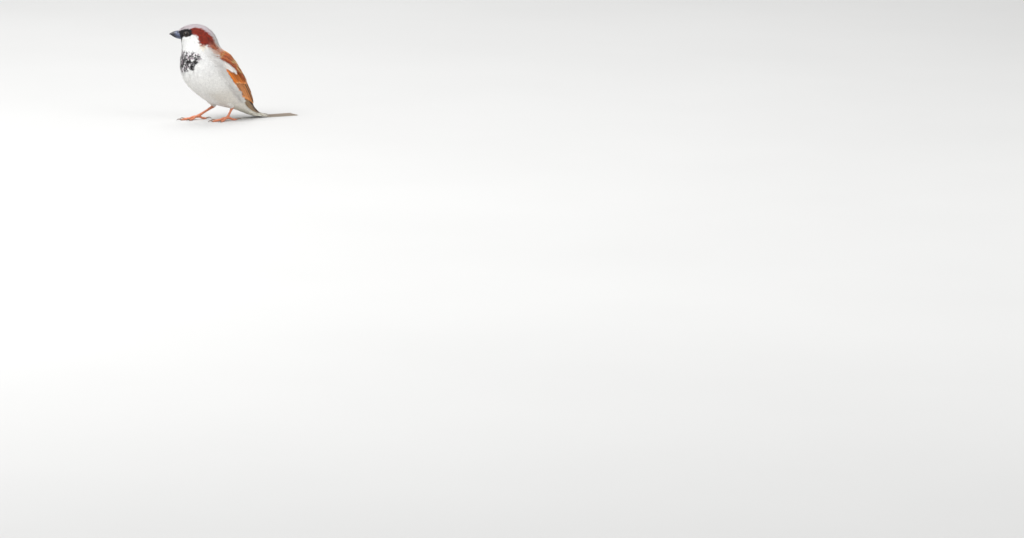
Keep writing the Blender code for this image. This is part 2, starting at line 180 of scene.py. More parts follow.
TAIL_SHAFT = (0.40, 0.35, 0.29)
DOWN_GREY = (0.22, 0.21, 0.21)
LID_RIM, LID_FOLD = (0.10, 0.088, 0.078), (0.032, 0.028, 0.028)
IRIS, PUPIL, EYE_RIM = (0.020, 0.011, 0.007), (0.002, 0.002, 0.002), (0.008, 0.006, 0.006)
BILL_BLUE, BILL_DARK = (0.085, 0.104, 0.180), (0.016, 0.017, 0.023)
BILL_LIP, BILL_PALE = (0.03, 0.03, 0.04), (0.20, 0.215, 0.255)
# The nostril's colour is painted shade: the dark inside its pit
BILL_RIDGE, NOSTRIL_PAINTED_SHADE = (0.05, 0.055, 0.075), (0.01, 0.01, 0.012)
LEG_PINK, LEG_PALE, LEG_DARK = (0.64, 0.205, 0.105), (0.76, 0.36, 0.22), (0.28, 0.085, 0.05)
CLAW_ROOT, CLAW_BROWN, CLAW_TIP = (0.30, 0.17, 0.11), (0.16, 0.095, 0.065), (0.05, 0.035, 0.03)

# Where the head's markings lie: {station: (lowest, highest)}, in degrees up from the flank
CHESTNUT = {
    2.7: (27, 46), 3.3: (19, 56), 4.1: (26, 57), 4.5: (17, 57), 5.0: (9, 57), 5.35: (12, 58), 5.65: (26, 58),
    6.0: (31, 56), 6.5: (36, 49),
}
FACE_BLACK = {
    0.0: (-95, 56), 1.05: (-95, 54), 1.35: (-8, 52), 1.6: (1, 50), 2.4: (4, 47), 2.85: (8, 41), 3.3: (14, 22),
}
BIB = {
    3.85: (-95, -72), 4.4: (-95, -54), 4.8: (-95, -38), 5.2: (-95, -26), 5.7: (-95, -9), 6.2: (-95, -3),
    6.6: (-95, -6), 7.0: (-95, -18), 7.45: (-95, -40), 7.7: (-95, -60), 7.9: (-95, -88),
}

MANTLE_END = 10.6  # station
# Depth of the coat over the skin, and size of its feathers, by station
COAT_DEPTH = ((0, 1, 2.5, 5, 7, 10, 14, 17), (0.5, 0.7, 0.9, 1.3, 1.8, 2.0, 1.4, 0.7))
GROWTH_STATIONS = (0, 0.8, 1.6, 2.6, 4.0, 5.0, 6.0, 7.0, 9.0, 12.0, 15.0, 16.5)
FEATHER_LENGTHS = (1.5, 1.9, 2.4, 3.0, 3.9, 4.8, 6.2, 8.0, 10.0, 11.0, 11.0, 12.0)
FEATHER_WIDTHS = (0.26, 0.32, 0.38, 0.48, 0.64, 0.80, 1.05, 1.35, 1.65, 1.8, 1.7, 1.6)
# region: (first and last station, spacing, barbs a side, length and width as shares of the usual, slot)
COAT_REGIONS = {
    "face": (0.05, 2.6, 0.44, 5, 1.0, 1.0, "head_plumage"),
    "head": (2.6, 5.0, 0.54, 6, 1.0, 1.0, "head_plumage"),
    "neck": (5.0, 7.1, 0.70, 8, 1.0, 1.0, "pale_plumage"),
    "bib": (3.9, 8.0, 1.60, 12, 0.9, 1.5, "pale_plumage"),
    "mantle": (6.7, MANTLE_END, 1.15, 10, 0.9, 1.3, "wing_plumage"),
    "breast": (7.1, 9.6, 0.86, 9, 1.0, 1.0, "pale_plumage"),
    "belly": (9.6, 13.2, 0.92, 9, 1.0, 1.0, "pale_plumage"),
    "rear": (13.2, 16.4, 0.95, 9, 1.0, 1.0, "pale_plumage"),
}
COAT_SOFTNESS = 0.75  # how far the shading follows the body rather than each barb
ROOT_DEPTH = 0.92  # how deep a soft feather starts, as a share of the coat's depth
SKIN_GRID, QUICK_SKIN_GRID = (200, 129), (120, 81)
SKIN_PAINTED_SHADE, THIGH_PAINTED_SHADE = 0.8, 0.7  # painted shade: the skin takes the colours of the plumage over it, darkened as if in its shade
WALK_STEPS = 7
TRIES_PER_FEATHER = 9  # places tried for each root, so that the coat has no gaps
FEATHER_FLOOR_GAP = 0.04
BAKE_PATCH = 0.003  # size of a soft feather's patch in the bake map


# ---------------------------------------------------------------- the form

def ease(value):
    """0 to 1, smoothly."""
    value = np.clip(value, 0, 1)
    return value * value * (3 - 2 * value)


def within(value, low, high, soft):
    return ease((value - low) / soft + 0.5) * ease((high - value) / soft + 0.5)


def bell(distance, reach):
    return np.exp(-((distance / reach) ** 2))


def size_of(vectors):
    return np.linalg.norm(vectors, axis=-1)


def unit(vectors):
    return vectors / np.maximum(np.linalg.norm(vectors, axis=-1, keepdims=True), 1e-9)


def lattice(first, last, rows, columns):
    """Places from first to last, down the rows, and angles right round, across the columns."""
    return np.linspace(first, last, rows)[:, None], np.linspace(0, 2 * math.pi, columns)[None, :]


def through(keys, place):
    """The value at each place, counted in keys, on a smooth curve through them, straight past its ends."""
    last = len(keys) - 1
    place = np.asarray(place, float)
    inside = np.clip(place, 0, last)
    first = np.minimum(inside.astype(int), last - 1)
    part, over = inside - first, place - inside
    if keys.ndim > 1:
        part, over = part[..., None], over[..., None]
    before, start = keys[np.maximum(first - 1, 0)], keys[first]
    end, after = keys[first + 1], keys[np.minimum(first + 2, last)]
    curve = 0.5 * (
        2 * start
        + (end - before) * part
        + (2 * before - 5 * start + 4 * end - after) * part**2
        + (3 * start - before - 3 * end + after) * part**3
    )
    return curve + over * (end - start)


def turned(points, share=1.0):
    """Points of the head, turned with it by this share of the whole turn."""
    points = np.asarray(points, float)
    angle = -HEAD_TURN * np.asarray(share, float)
    x, y, z = np.moveaxis(points - TURN_AXIS, -1, 0)
    cosine, sine = np.cos(angle), np.sin(angle)
    return np.stack([cosine * x - sine * y, sine * x + cosine * y, z + 0 * angle], -1) + TURN_AXIS


def body(station, angle, lift=0.0):
    """Points of the plumage's outside, at these stations and angles, raised by lift."""
    station, angle, lift = np.broadcast_arrays(*(np.asarray(v, float) for v in (station, angle, lift)))
    back, front = through(BACK_LINE, station), through(FRONT_LINE, station)
    middle, span = (back + front) / 2, back - front
    depth = size_of(span) / 2
    upward = span / (2 * depth[..., None])
    side, rise = np.cos(angle), np.sin(angle)
    lift = lift - NAPE_HOLLOW * bell(station - NAPE_STATION, NAPE_REACH) * ease(rise / 0.8)
    x = np.sign(side) * np.abs(side) ** (2 / CORNER_POWER) * (through(HALF_WIDTHS, station) + lift)
    z = np.sign(rise) * np.abs(rise) ** (2 / CORNER_POWER) * (depth + lift) - LOW_WIDTH * depth * side**2
    flat = middle + upward * z[..., None]
    share = ease((TURN_STARTS - station) / (TURN_STARTS - TURN_ENDS))
    return turned(np.stack([x, flat[..., 0], flat[..., 1]], -1), share)


def footing(form, station, angle):
    """The point of a form at each place, its outward direction, and what a station and a radian are there."""
    step = 0.02
    along = (form(station + step, angle) - form(station - step, angle)) / (2 * step)
    around = (form(station, angle + step) - form(station, angle - step)) / (2 * step)
    return form(station, angle), unit(np.cross(along, around)), along, around


def rise_of(angle):
    """Degrees up from the flank, the same on both sides."""
    return np.degrees(np.arcsin(np.clip(np.sin(angle), -1, 1)))


def coat_depth(station):
    return np.interp(station, *COAT_DEPTH)


def wing_edges(station):
    place = np.clip(np.asarray(station, float) - WING_FIRST, 0, len(WING_LOW) - 1)
    return through(WING_LOW, place), through(WING_HIGH, place)


def thigh_form(side):
    """The thigh's plumage as a form: place 0 is the knee, 4 the heel, and an angle goes round it."""
    knee, heel = (np.array(point) for point in LEGS[side][:2])
    ahead = unit(heel - knee)
    across = unit(np.cross(ahead, (0, 0, 1)))
    above = np.cross(across, ahead)

    def form(place, angle, lift=0.0):
        place, angle = np.broadcast_arrays(np.asarray(place, float), np.asarray(angle, float))
        radius = np.maximum(through(THIGH_RADII, place), 0.6) + lift
        ring = across * np.cos(angle)[..., None] + above * np.sin(angle)[..., None]
        return knee + (heel - knee) * (place / 4)[..., None] + ring * radius[..., None]

    return form


def tail_form(place, angle, lift=0.0):
    """The tail's fan as a form: place is the distance along it, angle the share across, -1 to 1."""
    place, angle = np.broadcast_arrays(np.asarray(place, float), np.asarray(angle, float))
    part = np.clip((place - TAIL_START) / (TAIL_END - TAIL_START), -0.5, 1.2)
    wider = (TAIL_TIP_HALF_WIDTH - TAIL_ROOT_HALF_WIDTH) * np.sign(part) * np.abs(part) ** 0.8
    half = TAIL_ROOT_HALF_WIDTH + wider
    root_rise = ease((TAIL_START + 6 - place) / 14)
    return np.stack([-angle * half, place, 0.10 + root_rise + lift], -1)


def eye_frame(sign):
    """The eye's centre, the way it looks, forward along the lids, and up."""
    def head_way(x, y, z):
        return unit(turned((x, y + TURN_AXIS[1], z)) - TURN_AXIS)

    looks = head_way(sign * EYE_AXIS[0], *EYE_AXIS[1:])
    ahead = head_way(0, -1, -0.12)
    forward = unit(ahead - looks * (ahead @ looks))
    upward = np.cross(looks, forward)
    return turned((sign * EYE_PLACE[0], *EYE_PLACE[1:])), looks, forward, upward * np.sign(upward[2])


def from_eye(sign, points):
    """How far points lie out from the eye's centre, the way it looks, and where across it."""
    centre, looks = eye_frame(sign)[:2]
    out = (points - centre) @ looks
    return out, points - centre - out[..., None] * looks


eye_low, eye_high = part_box("eye_left")
OFFSET = np.array((eye_low + eye_high) / 2) - turned(EYE_PLACE) * MM


# ---------------------------------------------------------------- markings

def patch(places, station, rise, soft=4.0, ends=0.12):
    """How far a place is inside a marking, from 0 to 1."""
    keys = sorted(places)
    low, high = (np.interp(station, keys, [places[key][side] for key in keys]) for side in (0, 1))
    return within(rise, low, high, soft) * within(station, keys[0] - ends, keys[-1] + ends, ends * 2)


def mixed(below, above, share):
    """One colour over another, by its share from 0 to 1 at each place."""
    below = np.asarray(below, float)
    return below + (np.asarray(above, float) - below) * np.asarray(share)[..., None]


def layered(colour, *layers):
    """A colour under layers of others, each with its share."""
    for tone, share in layers:
        colour = mixed(colour, tone, share)
    return colour


def markings(station, angle):
    """The plumage's colour at each place, and how far the place is in the bib, the mantle and the crown."""
    station, angle = np.broadcast_arrays(np.asarray(station, float), np.asarray(angle, float))
    rise = rise_of(angle)
    under = ease((5 - rise) / 30)
    crown_edge = 39 + 9 * ease(3.0 - station)
    crown = ease((rise - crown_edge) / 5 + 0.5) * ease((6.9 - station) / 0.5)
    mantle = within(station, 6.95, 10.4, 0.5) * ease((rise - 35) / 6 + 0.5)
    bib = patch(BIB, station, rise, soft=7, ends=0.2)
    throat = within(station, 0.9, 4.2, 0.3) * ease((-rise - 72) / 6 + 0.5)
    chestnut = patch(CHESTNUT, station, rise)
    rusty = ease((station - 5.3) / 1.1)
    colour = layered(
        BREAST,
        (BELLY, ease((station - 7) / 3)),
        (FLANK_BUFF, 0.8 * within(station, 10.5, 14.6, 1.5) * within(rise, -48, 40, 26)),
        (SIDE_GREY, 0.75 * within(station, 6.2, 12.5, 1.4) * within(rise, 8, 60, 14)),
        (VENT_CREAM, ease((station - 12.6) / 1.4) * under),
        (BAR_WHITE, 0.5 * ease((station - 15) / 1.5) * under),
        (CHEEK_WHITE, ease((6.0 - station) / 0.8)),
        (CREAM, 0.7 * within(station, 5.2, 5.9, 0.3) * within(rise, 8, 22, 7)),
        # Painted light: the crown's grey is paler than its own colour, as if lit from above
        (CROWN_GREY_AND_PAINTED_LIGHT, crown),
        (NAPE_GREY, crown * ease((station - 4.6) / 1.2)),
        (NAPE_BROWN, 0.75 * within(station, 6.0, 7.0, 0.5) * within(rise, 29, 60, 12)),
        (MANTLE_CHESTNUT, mantle),
        (RUMP, ease((station - 9.9) / 0.8) * ease((rise - 30) / 12 + 0.5)),
        (BLACK, np.maximum(throat, 0.7 * bib)),
        (HEAD_CHESTNUT, chestnut * (1 - 0.25 * rusty)),
        (NAPE_RUST, chestnut * 0.6 * rusty),
        (BLACK, patch(FACE_BLACK, station, rise, ends=0.06)),
    )
    return colour, bib, mantle, crown


# ---------------------------------------------------------------- materials

def material(name, build, *settings, **values):
    made = bpy.data.materials.new(name)
    made.use_nodes = True
    build(made.node_tree, made.node_tree.nodes["Principled BSDF"], *settings, **values)
    return made


def set_inputs(made, values):
    for key, value in values.items():
        made.inputs[key.replace("_", " ")].default_value = value


def node(tree, kind, links=(), settings=(), **inputs):
    """A node of this kind, its links by socket, its own settings and its inputs' values."""
    made = tree.nodes.new(kind)
    for key, value in dict(settings).items():
        setattr(made, key, value)
    set_inputs(made, inputs)
    for socket, source in links:
        tree.links.new(source, made.inputs[socket])
    return made


def maths(tree, operation, *sources):
    return node(tree, "ShaderNodeMath", enumerate(sources), {"operation": operation}).outputs[0]


def ramp(tree, source, low, high):
    """The source, from low's first value to high's first, stretched to run from their second values."""
    made = node(tree, "ShaderNodeMapRange", [("Value", source)], From_Min=low[0], From_Max=high[0])
    set_inputs(made, {"To_Min": low[1], "To_Max": high[1]})
    return made.outputs["Result"]


def object_noise(tree, scale, detail=3.0):
    place = node(tree, "ShaderNodeTexCoord").outputs["Object"]
    return node(tree, "ShaderNodeTexNoise", [("Vector", place)], Scale=scale, Detail=detail).outputs["Fac"]


def uneven(tree, scale, darkest, lightest, detail=3.0, low=0.3):
    """A shade round 1 that wanders over the piece."""
    return ramp(tree, object_noise(tree, scale, detail), (low, darkest), (1 - low, lightest))


def tinted(tree, shader, colour, shade):
    """Base colour: the colour, brightened or darkened by the shade around 1."""
    scaled = node(tree, "ShaderNodeVectorMath", [(0, colour), ("Scale", shade)], {"operation": "SCALE"})
    tree.links.new(scaled.outputs["Vector"], shader.inputs["Base Color"])


def marked(tree, shader, shade, relief=None, strength=0.0, depth=0.0, **values):
    """The piece's own markings, shaded, over a relief."""
    marking = node(tree, "ShaderNodeAttribute", (), {"attribute_name": "marking"})
    tinted(tree, shader, marking.outputs["Color"], shade)
    if relief:
        bump = node(tree, "ShaderNodeBump", [("Height", relief)], Strength=strength, Distance=depth)
        tree.links.new(bump.outputs[0], shader.inputs["Normal"])
    set_inputs(shader, values)


def grained(tree, shader, shade, relief=None, strength=0.0, depth=0.0, **values):
    """Markings with an uneven shade, and with a relief of noise where the scale of one is given."""
    relief = relief and object_noise(tree, relief)
    marked(tree, shader, uneven(tree, *shade), relief, strength, depth, **values)


def barb_lines(tree, per_mm):
    """Fine slanting lines either side of a vane's shaft, from its own map: x is mm across, y is mm along."""
    vane_map = node(tree, "ShaderNodeUVMap", (), {"uv_map": "vane"}).outputs[0]
    split = node(tree, "ShaderNodeSeparateXYZ", [(0, vane_map)])
    slant = node(
        tree, "ShaderNodeMath", [(0, maths(tree, "ABSOLUTE", split.outputs[0]))], {"operation": "MULTIPLY"},
    )
    slant.inputs[1].default_value = -0.9
    line = maths(tree, "ADD", slant.outputs[0], split.outputs[1])
    both = node(tree, "ShaderNodeCombineXYZ", [(0, line), (1, split.outputs[0])])
    wave = [("Vector", both.outputs[0])]
    return node(tree, "ShaderNodeTexWave", wave, Scale=per_mm, Distortion=0.6, Detail=1.0).outputs["Fac"]


def plumage(tree, shader, relief, lines, sheen):
    """Feather: its marking colour, broken by fine barbs and a little unevenness."""
    barbs = barb_lines(tree, lines)
    fine = ramp(tree, barbs, (0.0, 0.93), (1.0, 1.05))
    shade = maths(tree, "MULTIPLY", uneven(tree, 900, 0.90, 1.10, low=0.25), fine)
    marked(
        tree, shader, shade, barbs, relief, 0.00006,
        Roughness=0.78, Sheen_Weight=sheen, Sheen_Roughness=0.5, Specular_IOR_Level=0.2,
    )


def leg_scale(tree, shader):
    place = node(tree, "ShaderNodeTexCoord").outputs["Object"]
    by_edges = {"feature": "DISTANCE_TO_EDGE"}
    cells = node(tree, "ShaderNodeTexVoronoi", [("Vector", place)], by_edges, Scale=2600.0)
    edges = ramp(tree, cells.outputs["Distance"], (0.0, 0.78), (0.12, 1.0))
    shade = maths(tree, "MULTIPLY", edges, uneven(tree, 700, 0.86, 1.12))
    marked(tree, shader, shade, edges, 0.35, 0.00008, Roughness=0.5, Specular_IOR_Level=0.4)


def floor_look(tree, shader):
    pale = node(tree, "ShaderNodeCombineColor", Red=0.60, Green=0.60, Blue=0.595)
    tinted(tree, shader, pale.outputs[0], uneven(tree, 3.0, 0.985, 1.015))
    set_inputs(shader, {"Roughness": 0.9, "Specular IOR Level": 0.1})


HORN = ((1100, 0.80, 1.15, 5.0), 3800, 0.25, 0.00005)
LOOKS = {
    "soft_feather": material("soft_feather", plumage, 0.25, 5.0, 0.08),
    "firm_feather": material("firm_feather", plumage, 0.5, 3.2, 0.03),
    "bird_skin": material(
        "bird_skin", grained, (1400, 0.72, 0.98), 2600, 0.5, 0.0001, Roughness=0.85, Specular_IOR_Level=0.2,
    ),
    "bill_horn": material("bill_horn", grained, *HORN, Roughness=0.34, Specular_IOR_Level=0.5),
    "leg_scale": material("leg_scale", leg_scale),
    "claw_horn": material("claw_horn", grained, *HORN, Roughness=0.3, Specular_IOR_Level=0.5),
    "eye_gloss": material(
        "eye_gloss", grained, (2400, 0.7, 1.3, 4.0),
        Roughness=0.25, Coat_Weight=1.0, Coat_Roughness=0.015, Coat_IOR=1.32, Specular_IOR_Level=0.1,
    ),
}


# ---------------------------------------------------------------- making pieces

def put(mesh, look, nodes=()):
    mesh.materials.append(LOOKS[look])
    item = bpy.data.objects.new(mesh.name, mesh)
    bpy.context.scene.collection.objects.link(item)
    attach(item, "root")
    if nodes:
        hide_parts(*nodes)


def joined_mesh(name, lots, softness=0.0):
    """One mesh from lots of feathers. Softness turns its normals from each barb's own to the body's."""
    shift, moved = 0, []
    for points, triangles, *rest in lots:
        moved.append((points, triangles + shift, *rest))
        shift += len(points)
    points, triangles, colours, bake, vane, outward = (np.concatenate(each) for each in zip(*moved))
    mesh = bpy.data.meshes.new(name)
    mesh.vertices.add(len(points))
    mesh.vertices.foreach_set("co", (points * MM + OFFSET).astype(np.float32).ravel())
    mesh.loops.add(triangles.size)
    mesh.loops.foreach_set("vertex_index", triangles.astype(np.int32).ravel())
    mesh.polygons.add(len(triangles))
    mesh.polygons.foreach_set("loop_start", np.arange(0, triangles.size, 3, dtype=np.int32))
    for layer, values in (("OFBake", bake), ("vane", vane)):
        corners = values[triangles.ravel()].astype(np.float32).ravel()
        mesh.uv_layers.new(name=layer).uv.foreach_set("vector", corners)
    rgba = np.concatenate([colours, np.ones((len(colours), 1))], 1).astype(np.float32)
    mesh.color_attributes.new("marking", "FLOAT_COLOR", "POINT").data.foreach_set("color", rgba.ravel())
    mesh.update(calc_edges=True)
    mesh.validate()
    mesh.shade_smooth()
    if softness:
        normals = np.empty(len(points) * 3, np.float32)
        mesh.vertex_normals.foreach_get("vector", normals)
        normals = unit(normals.reshape(-1, 3) * (1 - softness) + outward * softness)
        mesh.normals_split_custom_set_from_vertices(normals.tolist())
    return mesh


class Sheet:
    """Surfaces laid through rows of points, gathered into one mesh."""

    def __init__(self):
        self.bm = bmesh.new()
        self.bake = self.bm.loops.layers.uv.new("OFBake")
        self.paint = self.bm.verts.layers.float_color.new("marking")

    def add(self, points, colours, corner=(0, 0), size=(1, 1), closed=True):
        """points is (rows, columns, 3) in mm; the last column meets the first where it is closed round."""
        rows, columns = points.shape[:2]
        made = bmesh.ops.create_grid(self.bm, x_segments=columns - 1, y_segments=rows - 1, size=0.5)["verts"]
        for face in {face for v in made for face in v.link_faces}:
            for loop in face.loops:
                x, y = loop.vert.co.x + 0.5, loop.vert.co.y + 0.5
                loop[self.bake].uv = (corner[0] + x * size[0], corner[1] + y * size[1])
        colours = np.broadcast_to(colours, points.shape)
        placed = points * MM + OFFSET
        for v in made:
            i = min(columns - 1, max(0, round((v.co.x + 0.5) * (columns - 1))))
            j = min(rows - 1, max(0, round((v.co.y + 0.5) * (rows - 1))))
            v.co = placed[j, i]
            v[self.paint] = (*colours[j, i], 1)
        if not closed:
            return
        bmesh.ops.remove_doubles(self.bm, verts=made, dist=1e-7)
        rim = {edge for v in made if v.is_valid for edge in v.link_edges if edge.is_boundary}
        for cap in bmesh.ops.holes_fill(self.bm, edges=list(rim))["faces"]:
            tone = np.mean([v[self.paint][:] for v in cap.verts], 0)
            for loop in cap.loops:
                loop[self.bake].uv = (corner[0] + size[0] / 2, corner[1])
            for v in bmesh.ops.poke(self.bm, faces=[cap])["verts"]:
                v[self.paint] = tone

    def mesh(self, name, sharp=60):
        bmesh.ops.recalc_face_normals(self.bm, faces=self.bm.faces)
        bmesh.ops.triangulate(self.bm, faces=self.bm.faces)
        made = bpy.data.meshes.new(name)
        self.bm.to_mesh(made)
        self.bm.free()
        made.shade_smooth()
        made.set_sharp_from_angle(angle=math.radians(sharp))
        return made


# ---------------------------------------------------------------- kinds of feather

def barbed_vane(barbs, base=0.12, shaft_end=0.90, wide=0.60, blunt=0.75, gap=0.06):
    """A soft feather: a shaft with barbs that stand apart towards the edge. Each point has its place along,
    0 to 1, and across, -1 to 1, its rim, 0 to 1 towards the edge, and the number of its barb or -1."""
    points, triangles = [], []

    def put_point(along, across, rim=0.0, barb=-1):
        points.append((along, across, rim, barb))
        return len(points) - 1

    def outline(share):
        angle = share * math.pi / 2
        return wide + (1 - wide) * math.sin(angle), math.cos(angle) ** blunt

    shaft = [put_point(base + (shaft_end - base) * k / barbs, 0) for k in range(barbs + 1)]
    for side in (1, -1):
        root = put_point(0, 0.12 * side)
        elbow = put_point(base + 0.2, 0.6 * side, 0.6)
        along, across = outline(0)
        corner = put_point(along, across * side, 0.9)
        fan = [(root, shaft[0], elbow), (shaft[0], corner, elbow)]
        for k in range(barbs):
            number = k + (barbs if side < 0 else 0)
            middle = []
            for share in ((k + gap) / barbs, (k + 1 - gap) / barbs):
                along, across = outline(share)
                start = base + (shaft_end - base) * share
                middle.append(put_point(start + (along - start) * 0.58, across * side * 0.62, 0.6, number))
            near, far = middle
            along, across = outline((k + 0.5) / barbs)
            tip = put_point(along, across * side, 1.0, number)
            fan += [(shaft[k], shaft[k + 1], near), (shaft[k + 1], far, near), (near, far, tip)]
        triangles += [(a, c, b) if side > 0 else (a, b, c) for a, b, c in fan]
    along, across, rim, barb = np.array(points, float).T
    return {
        "along": along, "across": across, "rim": rim, "web": across, "up": 0 * along,
        "barb": barb.astype(int), "barbs": 2 * barbs, "triangles": np.array(triangles),
    }


def firm_vane(rows, point=0.20, base=0.22, tip_power=0.5):
    """A firm feather: a closed thin vane with a raised shaft, a blunt point and a narrow base."""
    columns = (0, 0.06, 0.24, 0.48, 0.72, 0.9, 1.0)
    share = np.linspace(0, 1, rows)[:, None] ** 0.92
    web = np.array([-c for c in columns[:0:-1]] + list(columns)) + 0 * share
    past = np.clip((share - (1 - point)) / point, 0, 1)
    half = np.where(share < base, 0.30 + 0.70 * ease(share / base), 1.0)
    half = np.maximum(half * np.maximum(1 - past**2, 0.0) ** tip_power, 0.035)
    ridge = (np.abs(web) < 0.01) * ease((1 - share) / 0.15)
    inner = np.zeros(web.shape, bool)
    inner[1:-1, 1:-1] = True
    top = np.arange(web.size).reshape(web.shape)
    under = top.copy()
    under[inner] = web.size + np.arange(inner.sum())
    parts = {
        "along": share + 0.035 * np.abs(web) * (1 - share) * half, "across": half * web, "web": web,
        "rim": np.maximum(np.abs(web), ease(past)), "up": 0.10 * ridge + 0.02 * inner,
        "notch": (np.abs(web) > 0.85) * 1.0, "row": np.arange(rows)[:, None] + 0 * top,
    }
    made = {key: np.concatenate([value.ravel(), value[inner]]) for key, value in parts.items()}
    made["up"][web.size:] = (-0.05 - 0.05 * ridge)[inner]
    made["notch"][web.size:] = 0
    triangles = []
    for faces, way in ((top, 1), (under, -1)):
        a, b, c, d = faces[:-1, :-1], faces[:-1, 1:], faces[1:, 1:], faces[1:, :-1]
        for triple in ((a, b, c), (a, c, d)):
            triangles.append(np.stack(triple, -1).reshape(-1, 3)[:, ::way])
    made["triangles"] = np.concatenate(triangles)
    made["barbs"], made["rows"] = 0, rows
    return made


def walk(form, station, angle, heading, length, steps):
    """Paths from their roots along the lie of the coat, off it by heading, for this length."""
    stations, angles = [station], [angle]
    for k in range(steps):
        along, around = footing(form, station, angle)[2:]
        station = station + length / steps * np.cos(heading) / size_of(along)
        angle = angle + length / steps * np.sin(heading) / np.maximum(size_of(around), 0.5)
        stations.append(station)
        angles.append(angle)
    return np.stack(stations, 1), np.stack(angles, 1)


def lay(kind, form, stations, angles, lifts, width, camber, rng, loose=0.0):
    """One vane of this kind on each path: its points with outward directions, and the paths' lengths."""
    point, outward, along, around = footing(form, stations, angles)
    line = point + outward * lifts[..., None]
    ahead = unit(np.gradient(line, axis=1))
    side = unit(np.cross(ahead, outward))
    length = size_of(np.diff(line, axis=1)).sum(1)
    curve = 1 / np.maximum(size_of(around), 3.0).mean(1)[:, None]
    last = stations.shape[1] - 1
    place = np.clip(kind["along"], 0, 1) * last
    first = np.minimum(place.astype(int), last - 1)
    part = (place - first)[None, :, None]

    def at(values):
        return values[:, first] * (1 - part) + values[:, first + 1] * part

    width = width[:, None]
    across = kind["across"] * width
    height = kind["up"] - across**2 * curve / 2 - camber * width * kind["across"] ** 2
    push = 0 * across
    if loose and kind["barbs"]:
        shape = (len(width), kind["barbs"])
        pick = np.maximum(kind["barb"], 0)
        far = (kind["barb"] >= 0) * kind["rim"] ** 2
        height = height + rng.normal(0, loose * 0.22, shape)[:, pick] * far
        push = rng.normal(0, loose * 0.35, shape)[:, pick] * far
        across = across * (1 + rng.normal(0, 0.07, shape)[:, pick] * far)
    if "notch" in kind:
        rough = rng.random((len(width), kind["rows"], 2))
        cut = 0.03 * rough[..., 0] + 0.16 * (rough[..., 1] > 0.93)
        across = across * (1 - cut[:, kind["row"]] * kind["notch"])
    points = at(line) + at(side) * across[..., None] + at(np.cross(side, ahead)) * height[..., None]
    points = points + at(ahead) * push[..., None]
    round_body = at(outward) + at(side) * (across * curve)[..., None]
    return np.concatenate([points, unit(round_body)], -1), length


def gather(kind, points, colours, width, length, bake):
    """The feathers' arrays as flat lists for one mesh."""
    count, size = points.shape[:2]
    triangles = (kind["triangles"][None] + (np.arange(count) * size)[:, None, None]).reshape(-1, 3)
    vane = np.stack([kind["across"] * width[:, None], kind["along"] * length[:, None]], -1)
    colours = np.broadcast_to(np.clip(colours, 0, 1), (count, size, 3))
    points, outward = points[..., :3].reshape(-1, 3), points[..., 3:].reshape(-1, 3)
    points[:, 2] = np.maximum(points[:, 2], FEATHER_FLOOR_GAP)
    return points, triangles, colours.reshape(-1, 3), bake.reshape(-1, 2), vane.reshape(-1, 2), outward


def patch_shape(kind):
    return np.stack([kind["across"] * BAKE_PATCH / 2, (kind["along"] - 0.5) * BAKE_PATCH], -1)[None]


def root_patch(kind, station, angle):
    """Each feather's small patch of the bake map, at its root's place on the unwrapped body."""
    place = np.stack([(angle / (2 * math.pi)) % 1.0, np.clip(station / LAST_STATION, 0, 1)], -1)
    return 0.006 + 0.988 * place[:, None, :] + patch_shape(kind)


def strips(kind, count):
    """A place of its own in the bake map for each large feather."""
    rows = max(1, round(math.sqrt(count / 4)))
    columns = math.ceil(count / rows)
    number = np.arange(count)[:, None]
    return np.stack([
        (number % columns + 0.5 + 0.44 * kind["web"]) / columns,
        (number // columns + 0.03 + 0.94 * kind["along"]) / rows,
    ], -1)


# ---------------------------------------------------------------- skin

def lid_points(sign):
    """Rings from under the lid's edge, over its rim and two folds, down under the coat."""
    centre, looks, forward, upward = eye_frame(sign)
    angle = np.linspace(0, 2 * math.pi, 72)
    rows = []
    for out, reach in LID_RINGS:
        x = np.cos(angle) * (EYE_OPENING[0] + out + 0.12 * np.cos(angle) ** 8)
        y = np.sin(angle) * (EYE_OPENING[1] + out - 0.06 * np.maximum(np.sin(angle), 0))
        reach = reach + 0.02 * np.cos(24 * angle) * (0.1 < out < 0.8)
        deep = np.sqrt(np.maximum(reach**2 - x**2 - y**2, 0.02)) - max(0.0, out - 1.0) * 0.9
        rows.append(centre + looks * deep[:, None] + forward * x[:, None] + upward * y[:, None])
    return np.stack(rows)


def make_skin():
    """One closed skin under the whole coat, with the thighs and the eyelids."""
    sheet = Sheet()
    stations, angles = lattice(0, LAST_STATION, *SKIN_GRID)
    # Painted shade: the skin repeats the feathers' markings, darker as if in their shade
    colours = markings(stations, angles)[0] * SKIN_PAINTED_SHADE
    sheet.add(body(stations, angles, -coat_depth(stations)), colours, (0, 0), (0.8, 1))
    for number, side in enumerate(LEGS):
        thigh = thigh_form(side)(*lattice(-0.2, 4.1, 30, 41), -0.7)
        # Painted shade: the thigh's skin is the belly's colour, darkened as if in the feathers' shade
        sheet.add(thigh, np.array(BELLY) * THIGH_PAINTED_SHADE, (0.82, 0.5 * number), (0.16, 0.2))
    for number, sign in enumerate((1, -1)):
        shade = ease(np.linspace(0.0, 1.0, len(LID_RINGS))[:, None] * 2 - 0.5)
        lids = mixed(LID_RIM, LID_FOLD, shade)
        sheet.add(lid_points(sign), lids, (0.82, 0.25 + 0.5 * number), (0.16, 0.2), closed=False)
    nodes = ("head", "neck", "trunk", "tail_coverts", "thigh_left", "thigh_right")
    put(sheet.mesh("skin"), "bird_skin", nodes)


# ---------------------------------------------------------------- coat

